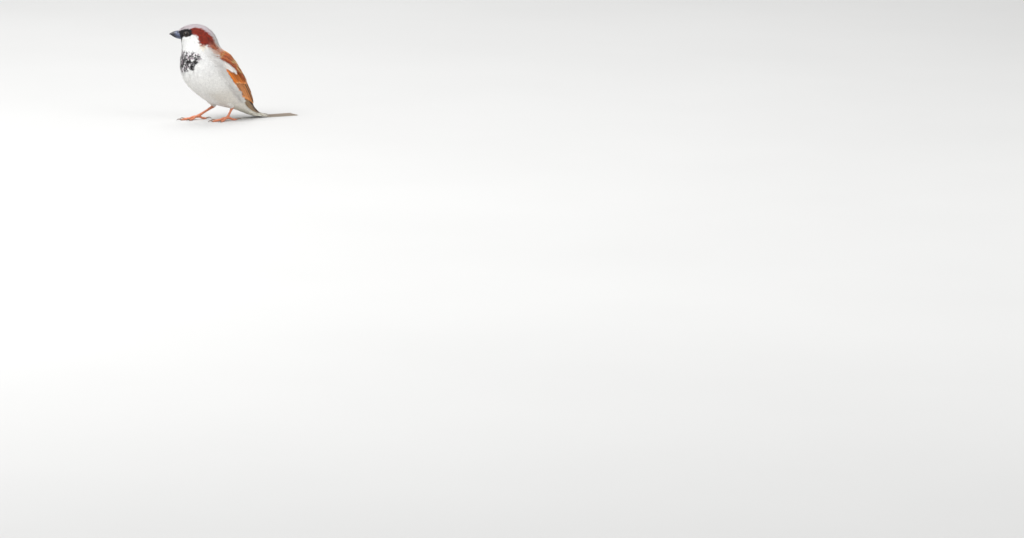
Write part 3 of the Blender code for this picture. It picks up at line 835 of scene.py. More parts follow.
def scatter(form, first, last, spacing, rng, keep=None, low=0.0, high=2 * math.pi):
    """Roots over a form between two stations, none nearer to another than the spacing, in no order."""
    probes = np.broadcast_arrays(np.linspace(first, last, 30)[:, None], np.linspace(low, high, 60)[None, :])
    cell_area = size_of(np.cross(*footing(form, *probes)[2:]))
    area = cell_area.mean() * (last - first) * (high - low)
    tries = int(area / spacing**2 * TRIES_PER_FEATHER)
    station = rng.uniform(first, last, tries)
    angle = rng.uniform(low, high, tries)
    point, outward, along, around = footing(form, station, angle)
    chosen = rng.random(tries) < size_of(np.cross(along, around)) / cell_area.max()
    if keep is not None:
        chosen &= keep(station, angle, point)
    station, angle, point = station[chosen], angle[chosen], point[chosen]
    cells = np.floor(point / spacing).astype(int)
    filled, taken = {}, []
    near = [(i, j, k) for i in (-1, 0, 1) for j in (-1, 0, 1) for k in (-1, 0, 1)]
    for number, (cell, place) in enumerate(zip(map(tuple, cells.tolist()), point.tolist())):
        neighbours = (
            other for i, j, k in near for other in filled.get((cell[0] + i, cell[1] + j, cell[2] + k), ())
        )
        if all(sum((a - b) ** 2 for a, b in zip(other, place)) >= spacing**2 for other in neighbours):
            filled.setdefault(cell, []).append(place)
            taken.append(number)
    return station[taken], angle[taken]


def part_round_eyes(points):
    """Feathers over an eye part round its lids and lie a little lower beside them."""
    for sign in (1, -1):
        centre, looks, forward, upward = eye_frame(sign)
        out, flat = from_eye(sign, points)
        distance = size_of(flat)
        clear = 2.98 + 0.10 * np.abs(unit(flat) @ forward)
        moved = (clear + 0.22 * (distance / clear)) / np.maximum(distance, 0.05)
        scale = np.where((out > 0) & (distance < clear), moved, 1.0)
        lower = np.where(out > 0, 0.45 * (1 - ease((distance - 2.9) / 2.2)), 0.0)
        points = centre + flat * scale[..., None] + looks * (out - lower)[..., None]
    return points


def off_the_eyes(point):
    free = np.ones(len(point), bool)
    for sign in (1, -1):
        out, flat = from_eye(sign, point)
        free &= (out < 0) | (size_of(flat) > EYE_CLEARANCE)
    return free


def off_the_wings(station, angle):
    """Leaves out what the folded wings cover."""
    low, high = wing_edges(station)
    rise = rise_of(angle)
    return ~((rise > low + 9) & (rise < high - 8) & (station > 8.3) & (station < 14.5))


def soft_colours(kind, station, angle, rng):
    """Colours for each point of each soft feather: its own marking, grey down at the root, and patterns."""
    count = len(station)
    wobble = rng.normal(0, 1, (2, count))
    colour, bib, mantle, crown = markings(station + 0.06 * wobble[0], angle + np.radians(2.2) * wobble[1])
    ruddy = ease((colour[:, 0] / np.maximum(colour[:, 2], 0.01) - 3) / 3)
    colour = colour * (1 + rng.normal(0, 1, (count, 1)) * (0.04 + 0.10 * ruddy[:, None]))
    colour = mixed(colour, DARK_CHESTNUT, 0.8 * (rng.random(count) < 0.3) * ruddy)
    along, rim, across = kind["along"], kind["rim"], np.abs(kind["across"])

    blotch = np.sin(6.0 * station + 12.0 * angle) + np.sin(7.0 * station - 11.0 * angle + 2.0)
    dark = rng.random(count) < 0.45 + 0.35 * np.clip((station - 4.6) / 2.4, 0, 1) - 0.22 * blotch
    tip_tone = mixed(BIB_FRINGE, BREAST, rng.random(count))[:, None]
    tip_start = rng.uniform(0.80, 0.95, count) - 0.32 * ease((blotch - 0.1) / 0.9)
    tip = ease((np.maximum(along, 0.9 * rim) - tip_start[:, None]) / 0.08)
    bib_look = mixed(np.where(dark[:, None], BLACK, BIB_MAUVE)[:, None], tip_tone, tip)

    streak_width = np.where(rng.random(count) < 0.72, rng.uniform(0.18, 0.5, count), 0.0)[:, None]
    streak = ease((streak_width - across) / 0.16) * ease((0.92 - along) / 0.12)
    edge_tone = np.where((rng.random(count) < 0.6)[:, None], MANTLE_BUFF, MANTLE_CHESTNUT)[:, None]
    fringe = np.maximum(0.85 * rim, ease((along - 0.72) / 0.24))
    edge = (edge_tone, 0.8 * ease((fringe - 0.5) / 0.4))
    back_look = layered(colour[:, None], edge, (STREAK, streak))

    pale = (colour.mean(1) > 0.3)[:, None]
    shaft = 0.10 * ease((0.10 - across) / 0.1) * ease((0.85 - along) / 0.2)
    return layered(
        colour[:, None],
        (bib_look, np.clip(bib * 1.25, 0, 1)[:, None]),
        (back_look, (mantle * (1 - crown))[:, None]),
        (DOWN_GREY, shaft * pale),
        (DOWN_GREY, ease((0.42 - along) / 0.32) * np.where(pale, 0.55, 0.3)),
    )


def coat_lifts(station, angle, rng):
    """How high each path lies: from the skin up to the plumage's outside at its tip."""
    share = np.linspace(0, 1, WALK_STEPS + 1)
    depth = coat_depth(station)[:, None]
    top = rng.uniform(0.0, 0.07, len(station))[:, None] * np.minimum(depth, 1.2)
    depth = depth * ROOT_DEPTH
    lift = (depth + top) * ease(share * 0.78 + 0.12) / ease(0.9) - depth
    rise = rise_of(angle)
    bend = bell(rise - wing_edges(station)[0] + 2, 7) * within(station, 6.6, 11.5, 0.9)
    shoulder = within(rise, 24, 64, 12) * within(station, 5.9, 6.85, 0.5)
    return lift + 1.7 * np.maximum(bend, shoulder)[:, None] * share


def belongs(region, station, angle):
    """Whether a root is in this region: the bib and the mantle have regions of their own."""
    colour, bib, mantle, crown = markings(station, angle)
    in_bib, in_mantle = bib > 0.5, (mantle > 0.5) & (station < MANTLE_END) & (crown < 0.5)
    return {"bib": in_bib, "mantle": in_mantle}.get(region, ~in_bib & ~in_mantle)


def soft_piece(name, lots, softness=COAT_SOFTNESS):
    put(joined_mesh(name, lots, softness), "soft_feather")


def make_coat():
    rng = np.random.default_rng(SEED)
    for region, (first, last, spacing, barbs, longer, wider, slot) in COAT_REGIONS.items():
        def keep(station, angle, point):
            return off_the_eyes(point) & off_the_wings(station, angle) & belongs(region, station, angle)

        station, angle = scatter(body, first, last, spacing, rng, keep)
        count = len(station)
        length = longer * np.interp(station, GROWTH_STATIONS, FEATHER_LENGTHS)
        length = length * rng.uniform(0.88, 1.12, count)
        width = wider * np.interp(station, GROWTH_STATIONS, FEATHER_WIDTHS)
        width = width * rng.uniform(0.9, 1.12, count)
        kind = barbed_vane(barbs)
        stations, angles = walk(body, station, angle, rng.normal(0, 0.08, count), length, WALK_STEPS)
        lifts = coat_lifts(station, angle, rng)
        loose = 0.12 + 0.08 * spacing
        points, reach = lay(kind, body, stations, angles, lifts, width, 0.05, rng, loose)
        if first < TURN_ENDS + 1:
            points[..., :3] = part_round_eyes(points[..., :3])
        colours = soft_colours(kind, stations[:, -2], angles[:, -2], rng)
        bake = root_patch(kind, station, angle)
        soft_piece("coat_" + region, [gather(kind, points, colours, width, reach, bake)])


def make_eye_rings():
    """Tiny feathers that grow outward and back from the lids."""
    rng = np.random.default_rng(SEED + 3)
    kind = barbed_vane(3)
    lots = []
    for sign in (1, -1):

        def by_the_lids(station, angle, point):
            out, flat = from_eye(sign, point)
            return (out > 0) & (size_of(flat) > EYE_RING[0]) & (size_of(flat) < EYE_RING[1])

        station, angle = scatter(body, 0.8, 3.6, 0.30, rng, by_the_lids)
        point, outward, along, around = footing(body, station, angle)
        outside = unit(unit(from_eye(sign, point)[1]) - 0.55 * eye_frame(sign)[2])
        count = len(station)
        width = rng.uniform(0.17, 0.24, count)
        heading = np.arctan2((outside * unit(around)).sum(-1), (outside * unit(along)).sum(-1))
        heading = heading + rng.normal(0, 0.12, count)
        stations, angles = walk(body, station, angle, heading, rng.uniform(0.9, 1.4, count), 5)
        lifts = np.linspace(-0.42, -0.05, 6) + rng.uniform(0, 0.08, count)[:, None]
        points, reach = lay(kind, body, stations, angles, lifts, width, 0.05, rng, loose=0.1)
        colours = markings(stations[:, -2], angles[:, -2])[0][:, None]
        lots.append(gather(kind, points, colours, width, reach, root_patch(kind, station, angle)))
    soft_piece("coat_eye_rings", lots, 0.8 * COAT_SOFTNESS)


def make_thigh_coat():
    rng = np.random.default_rng(SEED + 1)
    kind = barbed_vane(6)
    lots = []
    for number, side in enumerate(LEGS):
        form = thigh_form(side)
        place, angle = scatter(form, 0.6, 3.75, 0.75, rng)
        count = len(place)
        length = np.interp(place, (0, 4), (4.2, 2.0)) * rng.uniform(0.85, 1.15, count)
        width = np.interp(place, (0, 4), (1.2, 0.6)) * rng.uniform(0.9, 1.1, count)
        stations, angles = walk(form, place, angle, rng.normal(0, 0.12, count), length, 6)
        stations = np.minimum(stations, 4.25)
        rise = ease(np.linspace(0, 1, 7) + 0.1)
        lifts = -0.7 + (0.75 + rng.uniform(0, 0.2, count)[:, None]) * rise
        lifts = lifts - 0.5 * ease((stations - 3.9) / 0.5)
        points, reach = lay(kind, form, stations, angles, lifts, width, 0.1, rng, loose=0.3)
        tone = mixed(BELLY, FLANK_BUFF, 0.35 + 0.3 * rng.random(count))
        tone = mixed(tone, SIDE_GREY, 0.5 * ease((place - 2.2) / 1.4))
        colours = mixed(tone[:, None], DOWN_GREY, 0.4 * ease((0.4 - kind["along"]) / 0.3))
        disc = np.stack([np.cos(angle), np.sin(angle)], -1) * 0.2 * place[:, None] / 4
        centre = (0.25 + 0.5 * number, 0.5) + disc
        lots.append(gather(kind, points, colours, width, reach, centre[:, None] + patch_shape(kind)))
    soft_piece("coat_thighs", lots)


def make_bristles():
    """Short bristly feathers over the bill's root and beside the gape, pointing forward."""
    rng = np.random.default_rng(SEED + 2)
    kind = barbed_vane(3)
    low, middle, high = np.radians((-205, 25, 155))
    angle = np.concatenate([rng.uniform(low, middle, 60), rng.uniform(middle, high, 150)])
    count = len(angle)
    station = rng.uniform(0.12, 0.75, count)
    length = rng.uniform(1.0, 1.7, count)
    stations, angles = walk(body, station, angle, math.pi + rng.normal(0, 0.25, count), length, 5)
    share = np.linspace(0, 1, 6)
    lifts = -0.15 + 0.35 * share * (1 - 0.9 * share) - 0.3 * np.maximum(-stations, 0)
    lifts = lifts + rng.uniform(0, 0.1, count)[:, None]
    width = rng.uniform(0.16, 0.26, count)
    points, reach = lay(kind, body, stations, angles, lifts, width, 0.1, rng, loose=0.15)
    colours = markings(station, angle)[0][:, None]
    lot = gather(kind, points, colours, width, reach, root_patch(kind, station, angle))
    soft_piece("bristles", [lot], 0.0)


def make_tail_coverts():
    """Long soft feathers over and under the tail's root."""
    rng = np.random.default_rng(SEED + 11)
    kind = barbed_vane(10)
    lots = []
    for low, high, tone, first, last in (
        (30, 150, RUMP, 13.6, 16.1),
        (-150, -5, VENT_CREAM, 14.2, 16.3),
        (-175, -150, VENT_CREAM, 14.4, 16.3),
    ):
        station, angle = scatter(body, first, last, 1.5, rng, None, *np.radians((low, high)))
        count = len(station)
        length = rng.uniform(9.5, 12.5, count)
        width = rng.uniform(2.0, 2.5, count)
        stations, angles = walk(body, station, angle, rng.normal(0, 0.05, count), length, 9)
        rise = ease(np.linspace(0, 1, 10) * 0.8 + 0.1)
        lifts = -0.6 + (0.75 + rng.uniform(0, 0.25, count)[:, None]) * rise
        past = np.maximum(stations - TAIL_COVERTS_LIFT_FROM, 0)
        lifts = lifts + 2.5 * past * np.maximum(np.sin(angles), 0)
        points, reach = lay(kind, body, stations, angles, lifts, width, 0.1, rng, loose=0.25)
        colours = (np.array(tone) * (1 + rng.normal(0, 0.12, (count, 1))))[:, None]
        paler = mixed(tone, TAIL_COVERT_EDGE, 0.5)
        colours = mixed(colours, paler, 0.6 * ease((kind["rim"] - 0.6) / 0.4))
        lots.append(gather(kind, points, colours, width, reach, root_patch(kind, station, angle)))
    soft_piece("coat_tail_coverts", lots, softness=0.7 * COAT_SOFTNESS)


# ---------------------------------------------------------------- wings and tail

def make_wing_bed(side, sign):
    """The wing's own flesh and down, a thin closed body under its feathers."""
    sheet = Sheet()
    stations, ring = lattice(7.9, 12.4, 60, 61)
    low, high = wing_edges(stations)
    taper = ease((stations - 7.7) / 0.9) * ease((12.8 - stations) / 2)
    angle = np.radians((low + high) / 2 + ((high - low) / 2 - 2.5) * np.maximum(taper, 0.15) * np.cos(ring))
    lift = (0.25 + 0.45 * taper) * np.maximum(np.sin(ring), 0)
    sheet.add(body(stations, angle if sign > 0 else math.pi - angle, lift), np.array(STREAK) * 1.6)
    put(sheet.mesh("wing_bed_" + side), "bird_skin")


def quills(kind, sign, roots, tips, lifts, widths, rng, bow=0.0, loose=0.0):
    """Feathers from their roots to their tips, both (station, degrees up from the flank)."""
    roots, tips, lifts = (np.array(each, float)[:, None, :] for each in (roots, tips, lifts))
    tips[:, 0, 0] += rng.normal(0, 0.03, len(tips))
    share = np.linspace(0, 1, 13)[None, :, None]
    stations, rise = np.moveaxis(roots + (tips - roots) * share, -1, 0)
    angles = np.radians(rise + bow * np.sin(math.pi * share[..., 0]))
    height = lifts[..., 0] + (lifts[..., 1] - lifts[..., 0]) * share[..., 0]
    width = np.array(widths, float) * rng.uniform(0.97, 1.03, len(widths))
    angles = angles if sign > 0 else math.pi - angles
    points, reach = lay(kind, body, stations, angles, height, width, 0.018, rng, loose)
    return points, width, reach


def quill_colours(
    kind, count, sign, rng, centre, edge, centre_width=0.6, lower_edge=(0.25, 0.25), tip=None, tip_start=0.8,
    shaft=FLIGHT_DARK,
):
    """A dark centre with paler edges. The lower web's edge, from the first to the last feather, and the tip
    have measures of their own."""
    web, along = kind["web"] * sign, kind["along"]
    vary = rng.normal(0, 1, (count, 3))
    upper = ease((-web - centre_width - 0.05 * vary[:, :1]) / 0.22 + 0.5)
    lower = ease((web - (1 - np.linspace(*lower_edge, count)[:, None])) / 0.2 + 0.5)
    made = mixed(centre, edge, np.maximum(upper, lower))
    if tip is not None:
        made = mixed(made, tip, ease((along + 0.02 * vary[:, 1:2] - tip_start) / 0.06 + 0.5))
    middle = ease((0.05 - np.abs(web)) / 0.05) * ease((0.97 - along) / 0.06)
    return mixed(made, shaft, 0.8 * middle) * (1 + 0.05 * vary[:, 2:3, None])


def feather_row(piece, kind, count, roots, tips, lifts, widths, bow=0.0, loose=0.0, **look):
    """A row of a wing's feathers, from the lowest up. Roots and tips, heights at the root and at the tip, and
    half-widths are those of the first and the last, or of each."""
    given = (roots, tips, lifts, widths)
    each = (np.linspace(*keys, count) if len(keys) == 2 else np.array(keys) for keys in given)
    return piece, kind, *each, bow, loose, look


def large_rows(rng):
    """The flight feathers and the greater and median coverts."""
    primaries, greater = firm_vane(40, point=0.16, tip_power=0.6), firm_vane(26, point=0.3)
    secondaries, tertials = firm_vane(34, point=0.14), firm_vane(34, point=0.22)
    return [
        feather_row(
            "quills", primaries, 8, ((10.2, 34), (10.6, 46)), PRIMARY_TIPS, ((0.3, 0.7), (0.6, 1.25)),
            (2.1, 2.8), bow=-1.0, centre=FLIGHT_DARK, edge=FLIGHT_EDGE, centre_width=0.95,
            lower_edge=(0.12, 0.12),
        ),
        feather_row(
            "quills", secondaries, 8, ((9.4, 28), (9.9, 58)), ((11.75, 29), (13.1, 58)),
            ((0.5, 1.0), (0.8, 1.5)), (2.5, 3.2), centre=FLIGHT_DARK, edge=TERTIAL_EDGE, centre_width=0.9,
            lower_edge=(0.96, 0.82),
        ),
        feather_row(
            "quills", tertials, 3, ((9.7, 54), (9.6, 64), (9.5, 72)), ((13.5, 61), (12.9, 70), (12.0, 78)),
            ((1.45, 2.2), (1.85, 2.8)), (3.8, 4.1, 4.3), bow=1.0, centre=TERTIAL_CENTRE, edge=TERTIAL_EDGE,
            centre_width=0.62, lower_edge=(0.42, 0.42), tip=COVERT_TIP, tip_start=0.955,
        ),
        feather_row(
            "coverts", greater, 9, ((7.8, 24.5), (8.6, 66)), ((10.2, 31.5), (10.7, 68)),
            ((0.2, 1.45), (0.9, 2.2)), (2.7, 3.4), centre=COVERT_CENTRE, edge=COVERT_ORANGE,
            centre_width=0.3, lower_edge=(1.02, 0.66), tip=COVERT_TIP, tip_start=0.965,
        ),
        feather_row(
            "coverts", barbed_vane(15), 7, np.array(BAR_TIPS) + (-1.5, 4), BAR_TIPS,
            ((-0.9, 0.95), (0.4, 1.9)), (2.5, 3.1), loose=0.2,
            centre=BAR_WHITE, edge=BAR_WHITE, shaft=BAR_SHAFT,
        ),
    ]


def pairs(first, second):
    return np.stack(np.broadcast_arrays(first, second), -1)


def small_rows(rng):
    """The small chestnut coverts on the shoulder, the scapulars over the wing's root and the buff braces."""
    row, number = np.divmod(np.arange(LESSER_IN_ROW * len(LESSER_ROWS)), LESSER_IN_ROW)
    place = (number + 0.5 * (row % 2)) / (LESSER_IN_ROW - 0.5) * (len(LESSER_EDGE) - 1)
    tips = through(LESSER_EDGE, place) + rng.normal(0, (0.03, 0.7), (len(place), 2))
    tips = tips + pairs(-0.27 * row, 3.4 * row)
    kept = tips[:, 0] >= WING_FRONT
    tips, row = tips[kept], row[kept]
    lifts = pairs(-0.5 + 0.12 * row, 1.2 + 0.9 * ease((tips[:, 0] - 7.2) / 0.7) + 0.07 * row)
    rows = [feather_row(
        "coverts", barbed_vane(9), len(tips), tips + (-0.85, 2), tips, lifts, (1.6, 1.6), loose=0.15,
        centre=LESSER_CENTRE, edge=np.array(LESSER_ROWS)[row][:, None], centre_width=0.22,
        lower_edge=(0.72, 0.72), tip=LESSER_TIP, tip_start=0.93,
    )]
    row, number = np.divmod(np.arange(12), 4)
    start = 7.0 + 0.75 * row
    low = 44 + 6 * (start - 7)
    for tone, lower_edge, offset in ((MANTLE_CHESTNUT, 0.45, 0.0), (MANTLE_BUFF, 0.66, 0.5)):
        share = (number + offset + 0.25 * (row % 2)) / 4
        roots = pairs(start - 0.3 + 0.15 * share, low + (80 - low) * share)
        tips = pairs(start + 1.75 + 0.2 * share + rng.normal(0, 0.13, 12), low + 6 + (78 - low) * share)
        lifts = pairs(-0.3 + 0.45 * row, 2.35 + 0.3 * row + 0.1 * share)
        rows.append(feather_row(
            "coverts", firm_vane(22, point=0.4), 12, roots, tips, lifts, (2.5, 2.5), centre=STREAK, edge=tone,
            centre_width=0.2, lower_edge=(lower_edge, lower_edge), tip=MANTLE_CHESTNUT, tip_start=0.95,
        ))
    roots = np.concatenate([np.linspace((7.0, start), (9.0, start + 15.2), 5) for start in (55, 68)])
    lifts = np.concatenate([np.linspace((-0.3, 2.6), (0.9, 3.08), 5)] * 2)
    rows.append(feather_row(
        "coverts", firm_vane(22, point=0.4), 10, roots, roots + (1.7, 6), lifts, [1.5] * 5 + [1.2] * 5,
        centre=MANTLE_BUFF, edge=BRACE_EDGE, lower_edge=(0.6, 0.6),
    ))
    return rows


def make_wing(side, sign):
    rng = np.random.default_rng(SEED + 5 + sign)
    make_wing_bed(side, sign)
    pieces = {"quills": [], "coverts": []}
    for make_rows in (large_rows, small_rows):
        for piece, kind, roots, tips, lifts, widths, bow, loose, look in make_rows(rng):
            points, width, reach = quills(kind, sign, roots, tips, lifts, widths, rng, bow, loose)
            count = len(width)
            colours = quill_colours(kind, count, sign, rng, **look)
            pieces[piece].append(gather(kind, points, colours, width, reach, strips(kind, count)))
    for piece, slot, panels in (
        ("quills", "flight_plumage", ("secondaries", "primaries")),
        ("coverts", "wing_plumage", ("coverts",)),
    ):
        lots = pieces[piece]
        for number, lot in enumerate(lots):
            lot[3][:, 1] = (lot[3][:, 1] + number) / len(lots)
        nodes = [f"wing_{side}_{panel}" for panel in panels]
        put(joined_mesh(f"wing_{piece}_{side}", lots), "firm_feather", nodes)


def make_tail():
    """Twelve feathers, the middle pair on top."""
    rng = np.random.default_rng(SEED + 9)
    kind = firm_vane(48, point=0.09, base=0.12, tip_power=0.45)
    rank, sign = np.tile(np.arange(TAIL_PAIRS), 2), np.repeat((-1, 1), TAIL_PAIRS)
    count = len(rank)
    share = (rank + 0.42) / TAIL_PAIRS
    ends = TAIL_END - TAIL_NOTCH * (1 - share**1.2) - 0.9 * share**8
    heights = 1.65 - 0.19 * rank + 0.1 * (sign > 0)
    part = np.linspace(0, 1, 13)
    places = TAIL_ROOTS + (ends[:, None] - TAIL_ROOTS) * part
    across = (sign * share * 0.84)[:, None] * (1 + 0.02 * part)
    width = np.full(count, TAIL_FEATHER_HALF_WIDTH)
    lifts = heights[:, None] * (1 - 0.35 * part)
    points, reach = lay(kind, tail_form, places, across, lifts, width, 0.02, rng)
    web = np.abs(kind["web"])
    colours = layered(
        TAIL_BROWN,
        (TAIL_EDGE, ease((web - 0.80) / 0.16 + 0.5)),
        (TAIL_EDGE, 0.5 * ease((kind["along"] - 0.965) / 0.03)),
        (TAIL_SHAFT, 0.7 * ease((0.05 - web) / 0.05)),
    )
    colours = colours * (1 + rng.normal(0, 0.04, (count, 1, 1)))
    lot = gather(kind, points, colours, width, reach, strips(kind, count))
    put(joined_mesh("tail_feathers", [lot]), "firm_feather", ("tail",))


# ---------------------------------------------------------------- eyes, bill

def make_eye(side, sign):
    centre, looks, forward, upward = eye_frame(sign)
    sheet = Sheet()
    tilt, around = lattice(0.004, math.pi - 0.004, 61, 65)
    ring = forward * np.cos(around)[..., None] + upward * np.sin(around)[..., None]
    bulge = 1 + 0.012 * ease((0.5 - tilt) / 0.4)
    points = looks * (np.cos(tilt) * bulge)[..., None] + ring * np.sin(tilt)[..., None]
    pupil, rim = ease((0.40 - tilt) / 0.05 + 0.5), ease((tilt - 0.74) / 0.08 + 0.5)
    sheet.add(centre + EYE_RADIUS * 0.995 * points, layered(IRIS, (PUPIL, pupil), (EYE_RIM, rim)))
    put(sheet.mesh("eyeball_" + side), "eye_gloss", ("eye_" + side,))


def make_bill_half(name, outer_root, length_share, arch, upward, fullness):
    """One half of the bill, arched outside, flat where the halves meet, its root inside the feathers."""
    gape, tip = np.array(BILL_GAPE_ROOT), np.array(BILL_TIP)
    share = np.linspace(-0.14, 1, BILL_ROWS)[:, None]
    angle = np.linspace(0, math.pi, BILL_COLUMNS)[None, :]
    inside = np.maximum(share, 0)
    taper = np.where(share < 0, 1 + 0.4 * share, 1 - inside * 0.965)
    rise = np.sin(angle) ** 0.92
    depth = (np.array(outer_root) - gape) * taper[..., None]
    depth[..., 2] += upward * arch * np.sin(math.pi * inside)
    edge = gape + (0, 0, upward * 0.05) + (tip - gape) * (share * length_share)[..., None]
    points = edge + depth * rise[..., None]
    points[..., 0] += np.cos(angle) * BILL_HALF_WIDTH * fullness * taper**0.85

    def nostril(sign, long, wide):
        turn = angle - (math.pi / 2 - sign * NOSTRIL_TURN)
        return np.exp(-((((share - NOSTRIL_PLACE) / long) ** 2 + (turn / wide) ** 2) ** 2))

    if upward > 0:
        points[..., 2] -= ease((share - 0.9) / 0.1) * 0.22 * (0.4 + 0.6 * (1 - rise))
        for sign in (1, -1):
            pit = 0.42 * nostril(sign, 0.075, 0.30)
            points[..., 0] -= sign * pit * 0.8
            points[..., 2] -= pit * 0.4
    lip = bell(np.minimum(angle, math.pi - angle), 0.16)
    points[..., 0] *= 1 + 0.03 * lip
    points[..., 2] += upward * 0.02 * np.sin(share * 150) * np.sin(angle) * (inside > 0)
    tone = layered(BILL_BLUE, (BILL_DARK, ease((share - 0.24) / 0.36)), (BILL_LIP, 0.75 * lip))
    if upward < 0:
        pale = 0.55 * ease((0.45 - share) / 0.35) * ease((rise - 0.3) / 0.4)
        tone = mixed(tone, BILL_PALE, pale)
    else:
        tone = mixed(tone, BILL_RIDGE, 0.65 * ease((rise - 0.90) / 0.08))
        # Painted shade in the middle of each nostril's pit
        for sign in (1, -1):
            tone = mixed(tone, NOSTRIL_PAINTED_SHADE, nostril(sign, 0.06, 0.24))
    sheet = Sheet()
    loop = np.concatenate([points, points[:, :1] * 0.5 + points[:, -1:] * 0.5, points[:, :1]], 1)
    sheet.add(turned(loop), np.concatenate([tone, tone[:, :1], tone[:, :1]], 1))
    put(sheet.mesh(name + "_horn", 40), "bill_horn", (name,))


# ---------------------------------------------------------------- legs

def tube(path, radius, flatten=1.0):
    """Rings round a path of points; radius is (rows, columns). The last column meets the first."""
    ahead = unit(np.gradient(path, axis=0))
    across = unit(np.cross(ahead, (0, 0, 1.0)))
    above = np.cross(across, ahead)
    angle = np.linspace(0, 2 * math.pi, radius.shape[1])[None, :]
    ring = across[:, None] * np.cos(angle)[..., None] + above[:, None] * flatten * np.sin(angle)[..., None]
    return path[:, None] + ring * radius[..., None]


def rounded_ends(rows, count=6):
    """Factors that close a tube's ends roundly."""
    share = np.ones(rows)
    share[:count] = np.sqrt(1 - (1 - np.linspace(0.05, 1, count)) ** 2)
    share[-count:] = share[:count][::-1]
    return share[:, None]


def saw(distance, spacing, sharp):
    """The rise and step of overlapping plates along a toe, 0 to 1."""
    part = distance / spacing % 1.0
    return np.where(part < 1 - sharp, part / (1 - sharp), (1 - part) / sharp)[:, None]


def toe_line(joint, heading, length, rows):
    share = np.linspace(-0.06, 1.04, rows)
    inside = np.clip(share, 0, 1)
    drop = ease(inside * 1.5)
    height = joint[2] + (TOE_REST + 0.05 - joint[2]) * drop
    height = height + TOE_ARCH * np.sin(math.pi * np.minimum(inside * 1.15, 1)) * (1 - drop * 0.55)
    line = joint * (1, 1, 0) + heading * (length * share)[:, None]
    line[:, 2] = height
    return line, inside


def claw_line(base, heading, length, rows):
    share = np.linspace(0, 1, rows)
    bend = math.pi * 0.42
    reach = length * 0.86 * np.sin(share * bend) / math.sin(bend)
    fall = base[2] - CLAW_TIP_RADIUS - 0.05 + CLAW_RISE * math.sin(math.pi * 0.8)
    line = base * (1, 1, 0) + heading * reach[:, None]
    line[:, 2] = base[2] + CLAW_RISE * np.sin(math.pi * share * 0.8) - fall * share**2.2
    return line, share[:, None]


def make_leg(side):
    """The bare leg with overlapping plates, the toes with plates above and pads below, and the claws."""
    knee, heel, joint, turn = LEGS[side]
    heel, joint = np.array(heel), np.array(joint)
    scale, claws = Sheet(), Sheet()
    angle = np.linspace(0, 2 * math.pi, ROUND_LEG)[None, :]
    front, under = np.clip(np.sin(angle), 0, 1), np.clip(-np.sin(angle), 0, 1)
    share = np.linspace(-0.05, 1.03, TARSUS_ROWS)
    inside = np.clip(share, 0, 1)
    steps = saw(size_of(joint - heel) * inside, LEG_PLATE, 0.12)
    plates = steps * front**0.5
    radius = through(TARSUS_RADII, inside * (len(TARSUS_RADII) - 1))[:, None] * rounded_ends(TARSUS_ROWS)
    radius = radius * (0.97 + 0.085 * plates)
    groove = 0.05 * bell(np.abs(np.cos(angle)) - 1, 0.06)
    points = tube(heel + (joint - heel) * share[:, None], radius * (1 - groove), 1.15)
    seam = 0.55 * ease((steps - 0.9) / 0.1) * (np.sin(angle) > 0.1)
    tone = layered(LEG_PINK, (LEG_PALE, 0.5 * plates), (LEG_DARK, seam))
    scale.add(points, tone, (0.0, 0.0), (0.18, 0.95))
    for number, (degrees, length, claw) in enumerate(TOES.values()):
        direction = math.radians(degrees * (1 if side == "left" else -1) - turn)
        heading = np.array((math.sin(direction), -math.cos(direction), 0))
        rows = round(length * TOE_ROWS_PER_MM)
        line, inside = toe_line(joint, heading, length, rows)
        distance = length * inside
        top = front**0.6
        steps = saw(distance, TOE_PLATE, 0.2)
        plates = steps * top
        pads = (0.5 + 0.5 * np.cos(distance * 2 * math.pi / TOE_PAD))[:, None] * under
        radius = through(TOE_RADII, inside * (len(TOE_RADII) - 1))[:, None] * rounded_ends(rows)
        points = tube(line, radius * (0.95 + 0.10 * plates + 0.09 * pads))
        points[..., 2] = np.maximum(points[..., 2], 0.0)
        seam = 0.6 * (1 - ease(steps / 0.18)) * top
        tone = layered(LEG_PINK, (LEG_PALE, 0.6 * plates + 0.5 * pads), (LEG_DARK, seam))
        scale.add(points, tone, (0.2 + 0.2 * number, 0.0), (0.18, 0.95))
        base = line[-1] - heading * 0.25
        base[2] = TOE_REST + 0.1
        arc, share = claw_line(base, heading, claw, CLAW_ROWS)
        thick = CLAW_RADIUS + (CLAW_TIP_RADIUS - CLAW_RADIUS) * share**0.8
        thick[-4:, 0] *= (0.95, 0.8, 0.55, 0.15)
        points = tube(arc, thick * (1 - 0.18 * bell(angle - 1.5 * math.pi, 0.35)), 1.1)
        points[..., 2] = np.maximum(points[..., 2], 0.02)
        tip = 0.7 * ease((share - 0.6) / 0.4)
        tone = layered(CLAW_ROOT, (CLAW_BROWN, ease(share * 1.6)), (CLAW_TIP, tip))
        claws.add(points, tone, (0.25 * number, 0.0), (0.23, 0.95))
    toe_nodes = [f"tarsus_{side}"] + [f"toe_{side}_{toe}" for toe in TOES]
    put(scale.mesh("foot_" + side, 35), "leg_scale", toe_nodes)
    put(claws.mesh("claws_" + side), "claw_horn", [f"claw_{side}_{toe}" for toe in TOES])


# ---------------------------------------------------------------- room and camera, in metres

CAMERA_TURN, CAMERA_RISE = math.radians(62), math.radians(8)
CAMERA_DISTANCE = 4.0
FRAME_WIDTH = 0.952  # what the camera takes in at the bird
BIRD_ASIDE, BIRD_ABOVE = 0.2762, 0.1382  # how far the bird stands left of the camera's aim, and above it


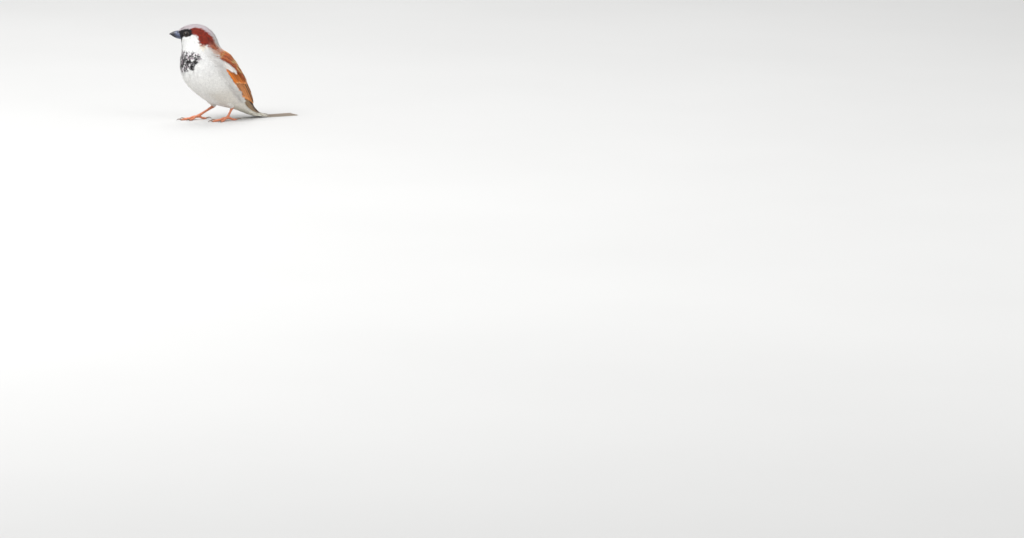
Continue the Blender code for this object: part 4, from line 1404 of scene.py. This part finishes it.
def camera_axes():
    """To the camera's right, up, and from the bird back to the camera, before it is aimed."""
    turn, rise = CAMERA_TURN, CAMERA_RISE
    right = Vector((math.cos(turn), math.sin(turn), 0))
    back = Vector((math.sin(turn) * math.cos(rise), -math.cos(turn) * math.cos(rise), math.sin(rise)))
    return right, back.cross(right), back


def link_new(name, data):
    item = bpy.data.objects.new(name, data)
    bpy.context.scene.collection.objects.link(item)
    return item


def make_room():
    bm = bmesh.new()
    bmesh.ops.create_grid(bm, x_segments=8, y_segments=8, size=30)
    mesh = bpy.data.meshes.new("floor")
    bm.to_mesh(mesh)
    bm.free()
    mesh.materials.append(material("plain_floor", floor_look))
    link_new("floor", mesh)
    scene = bpy.context.scene
    scene.world = scene.world or bpy.data.worlds.new("room")
    scene.world.use_nodes = True
    background = scene.world.node_tree.nodes["Background"]
    set_inputs(background, {"Color": (0.80, 0.80, 0.80, 1), "Strength": 0.80})
    scene.view_settings.view_transform = "Standard"


def make_camera():
    right, up, back = camera_axes()
    data = bpy.data.cameras.new("camera")
    data.sensor_width = 36
    data.lens = data.sensor_width * CAMERA_DISTANCE / FRAME_WIDTH
    data.clip_start, data.clip_end = 0.01, 100
    camera = link_new("camera", data)
    looks = (-back * CAMERA_DISTANCE + right * BIRD_ASIDE - up * BIRD_ABOVE).normalized()
    level = (right - looks * right.dot(looks)).normalized()
    camera.matrix_world = Matrix((level, level.cross(looks), -looks)).transposed().to_4x4()
    camera.location = Vector(OFFSET) + back * CAMERA_DISTANCE
    bpy.context.scene.camera = camera


def make_light(name, direction, distance, size, power):
    data = bpy.data.lights.new(name, "AREA")
    data.shape, data.size, data.energy = "DISK", size, power
    light = link_new(name, data)
    light.location = direction.normalized() * distance
    light.rotation_mode = "QUATERNION"
    light.rotation_quaternion = direction.to_track_quat("Z", "Y")


def make_lights():
    right, up, back = camera_axes()
    make_light("key", back * 0.75 - right * 0.85 + Vector((0, 0, 1.1)), 2.2, 1.3, 42)
    make_light("fill", back * 0.6 + right * 0.9 + Vector((0, 0, 0.45)), 2.4, 1.6, 12)
    make_light("top", -back * 0.6 + Vector((0, 0, 1.2)), 2.2, 1.6, 18)


make_skin()
make_coat()
make_eye_rings()
make_thigh_coat()
make_bristles()
for side, sign in (("left", 1), ("right", -1)):
    make_wing(side, sign)
make_tail()
make_tail_coverts()
for side, sign in (("left", 1), ("right", -1)):
    make_eye(side, sign)
make_bill_half("bill_upper", BILL_TOP_ROOT, 1.0, 0.75, 1, 1.0)
make_bill_half("bill_lower", BILL_LOW_ROOT, 0.93, 0.85, -1, 0.9)
for side in LEGS:
    make_leg(side)
make_room()
make_camera()
make_lights()
